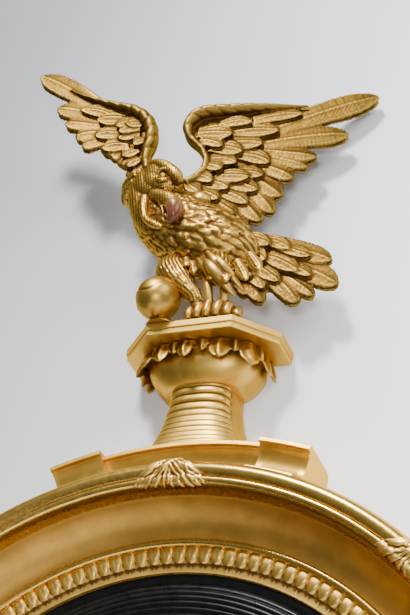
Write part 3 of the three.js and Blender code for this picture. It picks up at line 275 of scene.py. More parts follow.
def ball(centre, radii, rows=24, columns=32, axis=(0, 0, 1)):
    """An ellipsoid: c + M (a sin f cos g, b sin f sin g, c cos f), M turning Z onto the axis."""
    f = np.linspace(0.02, np.pi - 0.02, rows)[:, None]
    g = np.linspace(0, 2 * np.pi, columns, endpoint=False)
    p = np.stack([np.sin(f) * np.cos(g), np.sin(f) * np.sin(g), np.cos(f) + 0 * g], -1)
    w = unit(np.asarray(axis, float))
    u = unit(np.cross((0, 1, 0), w))
    frame = np.stack([u, np.cross(w, u), w])
    return tube((p * np.broadcast_to(np.asarray(radii, float), (3,))) @ frame + np.asarray(centre, float))


def leaves(base, tip, half, rise, crown=1.6, thick=2.6, bend=0.0, tilt=0.0, blunt=0.35, rib=0.5, barb=0.0,
           vane=3.4, strand=0.0, folds=3, point=0.0, jag=0.0, lip=0.0, rows=16, columns=11):
    """Closed leaves in a flat space (across, up, proud). With u from base to tip and v across:
    middle = base + u (tip - base) + 4 bend u (1 - u) side
    proud = rise0 + (rise1 - rise0) u^1.4 + tilt v, plus top or bottom
    width = half (0.6 + 0.4 sin(pi u / 1.4)) (1 - u)^point (1 - jag frac(u L / vane)), and past s = 1 - blunt
    also sqrt(1 - ((u - s) / blunt)^2); f = width / half
    top = f (0.5 sqrt(1 - v^8) + crown (1 - v^2)) + rib exp(-(v / 0.14)^2) + lip exp(-((|v| - 0.84) / 0.1)^2)
    - barb (1 - v^4) cos^2(pi (|v| width - 0.9 u L) / vane) - strand sin^2(pi folds v) sin^0.6(pi u)
    bottom = -thick f sqrt(1 - v^4)."""
    base, tip = np.asarray(base, float), np.asarray(tip, float)
    count = len(base)
    half, bend, tilt = (np.broadcast_to(np.asarray(x, float), (count,))[:, None, None]
                        for x in (half, bend, tilt))
    rise = np.broadcast_to(np.asarray(rise, float), (count, 2))
    run = tip - base
    length = np.linalg.norm(run, axis=1)[:, None, None]
    way = unit(run)
    side = np.stack([-way[:, 1], way[:, 0]], -1)
    u = np.linspace(0, 0.995, rows) ** 0.9
    u = u[None, :, None]
    v = np.cos(np.linspace(np.pi, 0, columns))
    v = np.concatenate([v, v[-2:0:-1]])[None, None, :]
    upper = np.arange(v.shape[2]) < columns
    s = 1 - blunt
    width = half * (0.6 + 0.4 * np.sin(np.pi * u / 1.4)) * np.sqrt(1 - np.clip((u - s) / blunt, 0, 1) ** 2)
    width = width * (1 - u) ** point * (1 - jag * (u * length / vane % 1.0))
    grooves = np.cos(np.pi * (np.abs(v) * width - 0.9 * u * length) / vane) ** 2
    fade = np.clip(width / half, 0, 1)
    top = 0.5 * fade * np.sqrt(1 - v ** 8) + crown * fade * (1 - v ** 2) + rib * np.exp(-(v / 0.14) ** 2)
    top = top - barb * grooves * (1 - v ** 4) + lip * np.exp(-((np.abs(v) - 0.84) / 0.1) ** 2)
    top = top - strand * np.sin(np.pi * folds * v) ** 2 * np.sin(np.pi * u) ** 0.6
    bottom = -thick * fade * np.sqrt(np.clip(1 - v ** 4, 0, 1))
    proud = rise[:, :1, None] + (rise[:, 1:, None] - rise[:, :1, None]) * u ** 1.4 + tilt * v
    proud = proud + np.where(upper[None, None, :], top, bottom)
    across = v * width + 4 * bend * u * (1 - u)
    flat = base[:, None, None] + u[..., None] * run[:, None, None] + across[..., None] * side[:, None, None]
    return np.concatenate([flat, proud[..., None]], -1)


def on_plane(points, plane):
    """Points (across, up, proud) carried to an upright plane: o + across t + up Z + proud n, n the plane's
    front normal."""
    t = np.array([*plane["turn"], 0.0])
    n = np.array([t[1], -t[0], 0.0]) * plane["front"]
    origin = np.array([*plane["origin"], SLAB_TOP])
    return origin + points[..., :1] * t + points[..., 1:2] * np.array([0, 0, 1.0]) + points[..., 2:] * n


def on_round(angle, radius, depth):
    """A place on the ring: (r sin a, -d, r cos a), a in degrees from the top to the right."""
    a = np.radians(angle)
    return np.array([radius * np.sin(a), -depth, radius * np.cos(a)])


# ---------------------------------------------------------------- objects

def add_object(name, parts, material, sharp=32.0):
    """One object from several sets of points and faces, millimetres made metres: normals outward, smooth but
    for edges over the sharp angle."""
    vertices, faces, start = [], [], 0
    for points, polygons in parts:
        vertices.append(points * MM)
        for polygon in polygons:
            faces.extend((polygon + start).tolist())
        start += len(points)
    mesh = bpy.data.meshes.new(name)
    mesh.from_pydata(np.concatenate(vertices), [], faces)
    form = bmesh.new()
    form.from_mesh(mesh)
    bmesh.ops.recalc_face_normals(form, faces=form.faces)
    form.to_mesh(mesh)
    form.free()
    mesh.validate()
    mesh.shade_smooth()
    mesh.set_sharp_from_angle(angle=math.radians(sharp))
    mesh.materials.append(material)
    obj = bpy.data.objects.new(name, mesh)
    bpy.context.scene.collection.objects.link(obj)
    return obj


def settle(obj):
    """The object's mesh with its modifiers worked in."""
    graph = bpy.context.evaluated_depsgraph_get()
    mesh = bpy.data.meshes.new_from_object(obj.evaluated_get(graph), depsgraph=graph)
    mesh.name = obj.name
    obj.modifiers.clear()
    obj.data = mesh
    return obj


def edge_mean(values, edges, count):
    """The mean of a value over each vertex's neighbours, by its edges."""
    a, b = edges.T
    sums = np.stack([np.bincount(a, values[b, i], count) + np.bincount(b, values[a, i], count)
                     for i in range(values.shape[1])], 1)
    total = np.bincount(a, minlength=count) + np.bincount(b, minlength=count)
    return sums / np.maximum(total, 1)[:, None]


def read_mesh(mesh):
    """The points and edges of a mesh as arrays."""
    points = np.empty(len(mesh.vertices) * 3)
    mesh.vertices.foreach_get("co", points)
    edges = np.empty(len(mesh.edges) * 2, np.int64)
    mesh.edges.foreach_get("vertices", edges)
    return points.reshape(-1, 3), edges.reshape(-1, 2)


def read_normals(mesh):
    """The normals of a mesh's vertices as an array."""
    normals = np.empty(len(mesh.vertices) * 3)
    mesh.vertex_normals.foreach_get("vector", normals)
    return normals.reshape(-1, 3)


def move_points(mesh, points):
    """Puts new places into a mesh."""
    mesh.vertices.foreach_set("co", points.ravel())
    mesh.update()


def mark_relief(obj, spread=(1, 5), gain=(1.4, 5.0)):
    """Stores a 'relief' value on each vertex: 0.5 + sum of gain k, k the edges' mean of
    (n_j - n_i) . (p_j - p_i) / |p_j - p_i|^2 in 1/mm after each spread of smoothing; over 0.5 is proud."""
    mesh = obj.data
    points, edges = read_mesh(mesh)
    normals = read_normals(mesh)
    step = points[edges[:, 1]] - points[edges[:, 0]]
    bend = np.sum((normals[edges[:, 1]] - normals[edges[:, 0]]) * step, 1) / np.maximum(
        np.sum(step * step, 1), 1e-9)
    count = len(points)
    total = np.bincount(edges.ravel(), minlength=count)
    curve = np.bincount(edges.ravel(), np.repeat(bend, 2), count) / np.maximum(total, 1) * MM
    curve = np.clip(curve, -1.2, 1.2)[:, None]
    value, done = np.full((count, 1), 0.5), 0
    for rounds, strength in zip(spread, gain):
        for _ in range(rounds - done):
            curve = 0.5 * curve + 0.5 * edge_mean(curve, edges, count)
        done = rounds
        value = value + strength * curve
    store(mesh, "relief", np.clip(value[:, 0], 0, 1))
    return obj


def store(mesh, name, values):
    """Writes one value for each vertex."""
    attribute = mesh.attributes.new(name, "FLOAT", "POINT")
    attribute.data.foreach_set("value", np.asarray(values, np.float32))


def shift_relief(obj, amounts):
    """Adds an amount to each vertex's relief, which stays from 0 to 1."""
    data = obj.data.attributes["relief"].data
    relief = np.empty(len(data), np.float32)
    data.foreach_get("value", relief)
    data.foreach_set("value", np.clip(relief + amounts, 0, 1).astype(np.float32))
    return obj


def shade_near(obj, places, reach, amount):
    """Adds amount exp(-(d / reach)^2) to the relief, d the distance to the nearest of some places."""
    points, _ = read_mesh(obj.data)
    places = np.asarray(places, float) * MM
    near = np.min([np.sum((points - place) ** 2, 1) for place in places], 0)
    return shift_relief(obj, amount * np.exp(-near / (reach * MM) ** 2))


def carve(obj, voxel, rounds=2):
    """One skin over overlapping closed forms: a voxel remesh, then rounds of p = 0.5 p + 0.5 m, m the mean of
    a vertex's neighbours."""
    skin = obj.modifiers.new("one skin", "REMESH")
    skin.mode = "VOXEL"
    skin.voxel_size = voxel * MM
    skin.use_smooth_shade = True
    material = obj.data.materials[0]
    settle(obj)
    mesh = obj.data
    mesh.materials.clear()
    mesh.materials.append(material)
    points, edges = read_mesh(mesh)
    for _ in range(rounds):
        points = 0.5 * points + 0.5 * edge_mean(points, edges, len(points))
    move_points(mesh, points)
    mesh.shade_smooth()
    return obj


def carving_voxel(context, share=1.0):
    """The fineness of a carved skin in millimetres, a share of the panel's."""
    return context.scene.girandole_sizes.carving_voxel / MM * share


def subtract(obj, parts):
    """Cuts closed forms out of an object with an exact Boolean."""
    cutter = add_object("cutter", parts, obj.data.materials[0])
    tool = obj.modifiers.new("cut", "BOOLEAN")
    tool.operation = "DIFFERENCE"
    tool.solver = "EXACT"
    tool.use_self = True
    tool.object = cutter
    settle(obj)
    obj.data.set_sharp_from_angle(angle=math.radians(32))
    mesh = cutter.data
    bpy.data.objects.remove(cutter)
    bpy.data.meshes.remove(mesh)
    return obj


def block(low, high):
    """A box between two corners."""
    (x0, y0, z0), (x1, y1, z1) = low, high
    row = [(x0, y0), (x1, y0), (x1, y1), (x0, y1)]
    return tube(np.array([[(x, y, z) for x, y in row] for z in (z0, z1)], float))


def batten_slot(low, high):
    """The space of the batten in a back, from one height to another."""
    return block((-30.3, -9.3, low), (30.3, 5, high))


def bare_back(obj):
    """Bare wood on the faces in the wall plane."""
    mesh = obj.data
    mesh.materials.append(material_of("pine"))
    middles = np.empty(len(mesh.polygons) * 3)
    mesh.polygons.foreach_get("center", middles)
    mesh.polygons.foreach_set("material_index", (middles.reshape(-1, 3)[:, 1] > -0.3 * MM).astype(np.int32))
    return obj


def finished(obj, body, slot, *nodes):
    """The piece rides on its CAD body and stands for its CAD nodes, which are hidden; its slot is not used.
    """
    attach(obj, body)
    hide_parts(*nodes)
    return obj


# ---------------------------------------------------------------- materials

def node(tree, kind, inputs=None, **settings):
    """A shader node with its settings, and its inputs linked or set."""
    made = tree.nodes.new(kind)
    for key, value in settings.items():
        setattr(made, key, value)
    for key, value in (inputs or {}).items():
        if isinstance(value, bpy.types.NodeSocket):
            tree.links.new(value, made.inputs[key])
        else:
            made.inputs[key].default_value = value
    return made


def maths(tree, operation, a, b=0.5, clamp=False):
    """The result of one arithmetic step."""
    return node(tree, "ShaderNodeMath", {0: a, 1: b}, operation=operation, use_clamp=clamp).outputs[0]


def blend(tree, factor, a, b):
    """A colour between two."""
    made = node(tree, "ShaderNodeMix", {0: factor, 6: a, 7: b}, data_type="RGBA")
    return made.outputs[2]


def span(tree, value, low, high, to_low=0.0, to_high=1.0):
    """A value carried from one span to another, eased at both ends."""
    return node(tree, "ShaderNodeMapRange", {0: value, 1: low, 2: high, 3: to_low, 4: to_high},
                interpolation_type="SMOOTHSTEP").outputs[0]


def noise(tree, scale, detail=4.0, roughness=0.6, stretch=None):
    """Noise over Object coordinates."""
    place = node(tree, "ShaderNodeTexCoord").outputs["Object"]
    if stretch:
        place = node(tree, "ShaderNodeMapping", {"Vector": place, "Scale": stretch}).outputs[0]
    return node(tree, "ShaderNodeTexNoise",
                {"Vector": place, "Scale": scale, "Detail": detail, "Roughness": roughness}).outputs[0]


def new_material(name):
    """An empty node material with its output and one Principled surface."""
    material = bpy.data.materials.new(name)
    material.use_nodes = True
    tree = material.node_tree
    tree.nodes.clear()
    surface = node(tree, "ShaderNodeBsdfPrincipled")
    node(tree, "ShaderNodeOutputMaterial", {"Surface": surface.outputs[0]})
    return material, tree, surface


def rgba(colour, factor=1.0):
    """A colour setting as a socket value."""
    return (*(channel * factor for channel in colour), 1.0)


def gilding(name, gold, bright, patina_and_shade, bole, roughness, shade_and_patina_share, wear, hammer, cloudy):
    """Gold leaf on carved wood: dark patina and painted shade where the relief is low, brighter gold, partly
    rubbed and partly a painted highlight, where it is high, red bole on some raised edges and where the
    'worn' value is high, and a hammered unevenness."""
    material, tree, surface = new_material(name)
    relief = node(tree, "ShaderNodeAttribute", attribute_name="relief").outputs["Fac"]
    wide, fine = noise(tree, 34.0), noise(tree, 170.0, 6.0, 0.62)
    uneven = maths(tree, "ADD", relief, maths(tree, "MULTIPLY", maths(tree, "SUBTRACT", fine), cloudy))
    # Painted shade and patina: where the relief is low the gold is darkened towards the hollow colour.
    hollow = span(tree, uneven, 0.45, 0.15, 0.0, shade_and_patina_share)
    # Painted highlight and rubbed gold: where the relief is high the gold is lightened towards the bright
    # colour.
    proud = span(tree, uneven, 0.54, 0.86)
    tone = blend(tree, span(tree, wide, 0.35, 0.65), rgba(gold), rgba(gold, 0.80))
    tone = blend(tree, maths(tree, "MULTIPLY", proud, 0.55), tone, rgba(bright))
    patch = span(tree, noise(tree, 120.0, 5.0, 0.75), 0.60, 0.68)
    worn = maths(tree, "MULTIPLY", maths(tree, "MULTIPLY", patch, span(tree, uneven, 0.50, 0.66)), wear)
    tone = blend(tree, worn, tone, rgba(bole))
    rubbed = node(tree, "ShaderNodeAttribute", attribute_name="worn").outputs["Fac"]
    broken = maths(tree, "MULTIPLY", maths(tree, "SUBTRACT", wide), 0.3)
    rubbed = span(tree, maths(tree, "ADD", rubbed, broken), 0.15, 0.60)
    tone = blend(tree, rubbed, tone, rgba(bole, 1.6))
    tone = blend(tree, hollow, tone, rgba(patina_and_shade))
    bare = maths(tree, "MAXIMUM", maths(tree, "MULTIPLY", worn, 0.7), maths(tree, "MULTIPLY", rubbed, 0.75))
    metal = maths(tree, "SUBTRACT", 1.0, maths(tree, "MAXIMUM", maths(tree, "MULTIPLY", hollow, 0.12), bare))
    rough = span(tree, fine, 0.3, 0.7, roughness - 0.02, roughness + 0.04)
    rough = maths(tree, "ADD", rough, maths(tree, "MULTIPLY", hollow, 0.2))
    rough = maths(tree, "SUBTRACT", rough, maths(tree, "MULTIPLY", rubbed, 0.12))
    bump = node(tree, "ShaderNodeBump", {"Strength": hammer, "Distance": 0.0012, "Height": fine})
    surface.inputs["Specular Tint"].default_value = (1.0, 0.72, 0.36, 1.0)
    for key, value in (("Base Color", tone), ("Metallic", metal), ("Roughness", rough),
                       ("Normal", bump.outputs[0])):
        tree.links.new(value, surface.inputs[key])
    return material


def plain(name, colour, roughness, metallic=0.0, mottled=0.15, scale=60.0, stretch=None, gloss=0.5):
    """A surface of one colour with a soft mottle, for wood, iron, brass, silvering and black lacquer."""
    material, tree, surface = new_material(name)
    cloud = noise(tree, scale, 5.0, 0.6, stretch)
    tone = blend(tree, span(tree, cloud, 0.3, 0.7), rgba(colour, 1 - mottled), rgba(colour, 1 + mottled))
    rough = span(tree, cloud, 0.3, 0.7, roughness - 0.04, roughness + 0.06)
    tree.links.new(tone, surface.inputs["Base Color"])
    tree.links.new(rough, surface.inputs["Roughness"])
    surface.inputs["Metallic"].default_value = metallic
    surface.inputs["Specular IOR Level"].default_value = gloss
    bump = node(tree, "ShaderNodeBump", {"Strength": 0.1, "Distance": 0.0004, "Height": cloud})
    tree.links.new(bump.outputs[0], surface.inputs["Normal"])
    return material


def material_of(kind):
    """The material of one kind, made once from the colours in the panel. A gold is its colour times a depth,
    with its roughness, patina and painted shade in hollows, wear, hammering and unevenness."""
    name = f"girandole {kind}"
    found = bpy.data.materials.get(name)
    if found:
        return found
    c = bpy.context.scene.girandole_colours
    golds = {
        "burnished gold": (c.gold, 1.0, c.burnish + 0.04, 0.75, 0.0, 0.008, 0.03),
        "satin gold": (c.gold, 1.0, c.burnish + 0.26, 0.75, 0.0, 0.02, 0.03),
        "crest gold": (c.crest_gold, 1.0, c.burnish + 0.20, 0.8, 0.2, 0.06, 0.08),
        "leaf gold": (c.leaf_gold, 1.0, c.burnish + 0.18, 1.0, 0.2, 0.10, 0.10),
        "carved gold": (c.carved_gold, 0.82, c.burnish + 0.17, 1.0, 0.3, 0.28, 0.14),
        "feather gold": (c.carved_gold, 0.36, c.burnish + 0.22, 0.55, 0.3, 0.32, 0.24),
    }
    if kind in golds:
        gold, depth, rough, shade_and_patina_share, wear, hammer, cloudy = golds[kind]
        gold, bright = (tuple(depth * channel for channel in colour) for colour in (gold, c.rubbed_and_highlight_gold))
        return gilding(name, gold, bright, c.patina_and_shade, c.bole, rough, shade_and_patina_share, wear, hammer, cloudy)
    if kind == "ebonised":
        return plain(name, c.ebony, 0.30, 0.0, 0.2, 90.0, gloss=0.15)
    if kind == "silvered glass":
        return plain(name, c.silver, 0.05, 1.0, 0.02, 12.0)
    if kind == "pine":
        return plain(name, c.pine, 0.68, 0.0, 0.22, 26.0, (0.25, 1.0, 6.0))
    if kind == "iron":
        return plain(name, c.iron, 0.5, 0.8, 0.3, 200.0)
    return plain(name, c.brass, 0.28, 1.0, 0.12, 120.0)


# ---------------------------------------------------------------- settings

class GirandoleSizes(bpy.types.PropertyGroup):
    """Sizes of the fine forms."""
    ring_steps: bpy.props.IntProperty(name="Ring steps", description="Faces round the turned mouldings",
                                      default=288, min=48, max=512, subtype="UNSIGNED")
    leaf_tips: bpy.props.IntProperty(name="Leaf tips", description="Leaf tips round the inner moulding",
                                     default=135, min=20, max=300, subtype="UNSIGNED")
    reed_pitch: bpy.props.FloatProperty(name="Reed pitch", description="Distance between reeds of the slip",
                                        default=0.0056, min=0.002, max=0.02, unit="LENGTH")
    carving_voxel: bpy.props.FloatProperty(name="Carving voxel", description="Fineness of the carved skins",
                                           default=0.00105, min=0.0005, max=0.006, unit="LENGTH")
    feather_crown: bpy.props.FloatProperty(name="Feather crown", description="Rise of a feather's middle",
                                           default=0.0018, min=0.0, max=0.006, unit="LENGTH")
    barb_depth: bpy.props.FloatProperty(name="Barb depth", description="Depth of the cuts across a feather",
                                        default=0.0006, min=0.0, max=0.003, unit="LENGTH")
    neck_reed: bpy.props.FloatProperty(name="Neck reed", description="Depth of the deepest cut on the neck",
                                       default=0.0024, min=0.0, max=0.006, unit="LENGTH")


class GirandoleColours(bpy.types.PropertyGroup):
    """Colours of the finishes."""
    gold: bpy.props.FloatVectorProperty(name="Gold", description="Burnished gold of the ring",
                                        default=(0.66, 0.38, 0.075), size=3, min=0, max=1, subtype="COLOR")
    crest_gold: bpy.props.FloatVectorProperty(name="Crest gold",
                                              description="Softer gold of rail and console",
                                              default=(0.70, 0.43, 0.075), size=3, min=0, max=1,
                                              subtype="COLOR")
    carved_gold: bpy.props.FloatVectorProperty(name="Carved gold", description="Gold of the carved pieces",
                                               default=(0.42, 0.225, 0.035), size=3, min=0, max=1,
                                               subtype="COLOR")
    leaf_gold: bpy.props.FloatVectorProperty(name="Leaf gold", description="Gold of the leaf tips",
                                             default=(0.86, 0.54, 0.12), size=3, min=0, max=1,
                                             subtype="COLOR")
    # Brighter gold of high places: partly rubbed gold, partly a painted highlight.
    rubbed_and_highlight_gold: bpy.props.FloatVectorProperty(name="Bright gold", description="Gold of rubbed high places",
                                               default=(0.86, 0.56, 0.12), size=3, min=0, max=1,
                                               subtype="COLOR")
    # Dark colour of the hollows: patina, and painted shade there as well.
    patina_and_shade: bpy.props.FloatVectorProperty(name="Toning", description="Dark toning in hollows",
                                          default=(0.14, 0.062, 0.014), size=3, min=0, max=1,
                                          subtype="COLOR")
    bole: bpy.props.FloatVectorProperty(name="Bole", description="Red ground that shows where gold is worn",
                                        default=(0.10, 0.036, 0.020), size=3, min=0, max=1, subtype="COLOR")
    ebony: bpy.props.FloatVectorProperty(name="Ebony", description="Black of the slip",
                                         default=(0.005, 0.005, 0.005), size=3, min=0, max=1,
                                         subtype="COLOR")
    silver: bpy.props.FloatVectorProperty(name="Silver", description="Silvering of the glass",
                                          default=(0.86, 0.87, 0.88), size=3, min=0, max=1, subtype="COLOR")
    pine: bpy.props.FloatVectorProperty(name="Pine", description="Bare aged wood of the back",
                                        default=(0.30, 0.17, 0.08), size=3, min=0, max=1, subtype="COLOR")
    iron: bpy.props.FloatVectorProperty(name="Iron", description="Screws and pin", default=(0.13, 0.11, 0.10),
                                        size=3, min=0, max=1, subtype="COLOR")
    brass: bpy.props.FloatVectorProperty(name="Brass", description="Arms, pans, nozzles and hangers",
                                         default=(0.72, 0.48, 0.17), size=3, min=0, max=1, subtype="COLOR")
    wall: bpy.props.FloatVectorProperty(name="Wall", description="Wall and floor of the studio",
                                        default=(0.74, 0.75, 0.78), size=3, min=0, max=1, subtype="COLOR")
    burnish: bpy.props.FloatProperty(name="Burnish", description="Roughness of the burnished gold",
                                     default=0.22, min=0.05, max=1, subtype="FACTOR")


# ---------------------------------------------------------------- the ring

def hanger_place(sign):
    """The middle of a hanger's hinge."""
    x, _, z = on_round(sign * HANGER_ANGLE, HANGER_RADIUS, 0)
    return np.array([x, -HINGE_DEPTH, z])


def glass_rise(radius):
    """How far the glass's sphere stands over its edge: sqrt(S^2 - r^2) - sqrt(S^2 - E^2)."""
    return np.sqrt(GLASS_SPHERE ** 2 - radius ** 2) - math.sqrt(GLASS_SPHERE ** 2 - GLASS_EDGE ** 2)


class GIRANDOLE_OT_carcase(bpy.types.Operator):
    """The ring's carcase, a turned section: outer wall, quarter-ellipse hollow
    d = 77.3 - 42.5 sqrt(1 - ((r - 275.2) / 30.3)^2), land, lip, rebate and backboard seat, less the pockets
    of the hangers and the slot of the batten."""
    bl_idname = "girandole.carcase"
    bl_label = "Carcase"

    def execute(self, context):
        steps = context.scene.girandole_sizes.ring_steps
        full = arc(COVE_CENTRE, COVE_SIZE, 0, -90, 30)
        hollow = [p for p in full if p[1] < RING_DEPTH - 0.4]
        level = (COVE_CENTRE[1] - RING_DEPTH) / COVE_SIZE[1]
        edge = COVE_CENTRE[0] + COVE_SIZE[0] * math.sqrt(1 - level ** 2)
        profile = [(261.5, 0), (323, 0), (324, 1), (324, RING_DEPTH), (edge, RING_DEPTH), *map(tuple, hollow),
                   (275.2, 33.5), (245.0, 33.5), (245.0, 28.0), (253.2, 28.0), (253.2, 8.0), (261.5, 8.0)]
        ring = add_object("carcase_fine", [turned_ring(profile, steps=steps)], material_of("satin gold"))
        spaces = [batten_slot(250, 420)]
        for _, sign in SIDES:
            x, _, z = hanger_place(sign)
            spaces.append(block((x - 12, -11, z - 22), (x + 12, 5, z + 28)))
        subtract(ring, spaces)
        finished(mark_relief(bare_back(ring)), "root", "burnished_gold", "carcase_ring")
        return {"FINISHED"}


class GIRANDOLE_OT_mouldings(bpy.types.Operator):
    """The outer moulding, a turned section of two rounds c + R (cos a, sin a) with the rim of the hollow
    inside them, and the small half-round inside the hollow."""
    bl_idname = "girandole.mouldings"
    bl_label = "Mouldings"

    def execute(self, context):
        steps = context.scene.girandole_sizes.ring_steps + 72
        torus = arc(TORUS, TORUS_R, -72, 148, 30)
        bead = arc(BEAD, BEAD_R, 62, 196, 16)
        torus = torus[torus[:, 1] > 68.2]
        outer = [(323.8, 68.0), *map(tuple, torus), (314.9, 83.0), *map(tuple, bead), (307.6, 79.4),
                 (307.6, 77.3), (305.5, 77.3), (305.4, 74.0), (304.6, 68.0)]
        inner = [(275.0, 33.8), *map(tuple, arc((271.4, 41.4), (3.6, 3.6), 0, 180, 20)), (267.8, 33.8)]
        gold = material_of("burnished gold")
        for name, node_name, profile in (("outer_moulding_fine", "outer_moulding", outer),
                                         ("astragal_fine", "astragal_ring", inner)):
            obj = add_object(name, [turned_ring(profile, steps=steps)], gold, 50)
            finished(mark_relief(obj), "root", "burnished_gold", node_name)
        return {"FINISHED"}


class GIRANDOLE_OT_leaf_band(bpy.types.Operator):
    """The band of leaf tips, a ring of rows r from 267.6 in to 253 and columns a. Swell
    e(t) = 7 - 2.6 t + 1.8 sin(pi t) over the ornament's seat, t from the outer edge in. Each tip is a tongue
    |u| < w = 0.47 sqrt(1 - t^3.4) of crown 0.7 (1 - (u / w)^2), less a vein 0.35 exp(-(u / 0.06)^2). Between
    tongues the surface drops 1.6, and a flat fillet closes the band inwards."""
    bl_idname = "girandole.leaf_band"
    bl_label = "Leaf tips"

    def execute(self, context):
        tips = context.scene.girandole_sizes.leaf_tips
        per, rows = 12, 22
        u = (np.arange(tips * per) % per / per - 0.5)[:, None]
        a = (np.arange(tips * per) / (tips * per) * 2 * np.pi)[:, None]
        t = np.linspace(0, 1, rows)[None, :]
        outer, inner = LEAF_BAND
        w = 0.47 * np.sqrt(np.clip(1 - t ** 3.4, 0.0, 1)) + 1e-3
        share = np.clip(np.abs(u) / w, 0, 1.3)
        vein = 0.35 * np.exp(-(u / 0.06) ** 2) * np.sin(np.pi * np.clip(t * 1.1, 0, 1))
        tongue = 0.7 * (1 - share ** 2) - vein
        drop = np.clip((share - 0.86) / 0.2, 0, 1)
        swell = 7.0 - 2.6 * t + 1.8 * np.sin(np.pi * t)
        high = np.maximum(swell - 0.7 + tongue * (1 - drop) - 1.6 * drop, 1.9)
        r = outer - t * (outer - inner)
        fillet = [(inner - 0.2, 2.0), (SIGHT, 2.0), (SIGHT, 0.0), (outer, 0.0)]
        radius = np.concatenate([r + 0 * a, *[np.full_like(a, p[0]) for p in fillet]], 1)
        depth = ORNAMENT_SEAT + np.concatenate([high, *[np.full_like(a, p[1]) for p in fillet]], 1)
        lattice = np.stack([radius * np.sin(a), -depth, radius * np.cos(a)], -1)
        obj = add_object("leaf_tips_fine", [tube(lattice, ring=True)], material_of("leaf gold"), 60)
        finished(mark_relief(obj, (1, 3), (0.8, 1.2)), "root", "burnished_gold", "leaf_tip_band")
        return {"FINISHED"}


class GIRANDOLE_OT_slip(bpy.types.Operator):
    """The ebonised slip, a turned section: flat rim, then reeds 1.1 |sin(pi (235.5 - r) / pitch)|^0.7 on a
    swell 3.4 sin(pi s) - 0.4 s, an inner edge and a back that follows the glass."""
    bl_idname = "girandole.slip"
    bl_label = "Reeded slip"

    def execute(self, context):
        sizes = context.scene.girandole_sizes
        pitch = sizes.reed_pitch / MM
        outer, inner, seat = 235.5, 205.7, 18.1
        r = np.linspace(outer, inner + 0.2, 120)
        s = (outer - r) / (outer - inner)
        reeds = 1.1 * np.abs(np.sin(np.pi * (outer - r) / pitch)) ** 0.7
        face = 32.2 + 3.4 * np.sin(np.pi * s) - 0.4 * s + reeds
        under = [(x, seat + glass_rise(x)) for x in (inner, 212, 220, 228, outer)]
        profile = [(252.9, seat), (252.9, 27.7), (244.7, 27.7), (244.7, 32.0), (244.1, 32.6), (236.2, 32.6),
                   *zip(r, face), (inner, 31.4), *under]
        ring = turned_ring(profile, steps=sizes.ring_steps)
        obj = add_object("slip_fine", [ring], material_of("ebonised"), 40)
        finished(obj, "root", "ebonised", "reeded_slip")
        return {"FINISHED"}


class GIRANDOLE_OT_glass(bpy.types.Operator):
    """The convex glass: faces of depth d + sqrt(832.5^2 - r^2) - sqrt(832.5^2 - 235.5^2), d 14 and 17.5."""
    bl_idname = "girandole.glass"
    bl_label = "Convex glass"

    def execute(self, context):
        r = np.linspace(0.05, GLASS_EDGE, 40)
        rise = glass_rise(r)
        a = np.linspace(0, 2 * np.pi, 192, endpoint=False)
        radius = np.concatenate([r, r[::-1]])[:, None]
        depth = np.concatenate([17.5 + rise, 14.0 + rise[::-1]])[:, None]
        lattice = np.stack([radius * np.sin(a), -depth + 0 * a, radius * np.cos(a)], -1)
        obj = add_object("glass_fine", [tube(lattice)], material_of("silvered glass"))
        finished(obj, "root", "silvered_glass", "mirror_glass")
        return {"FINISHED"}


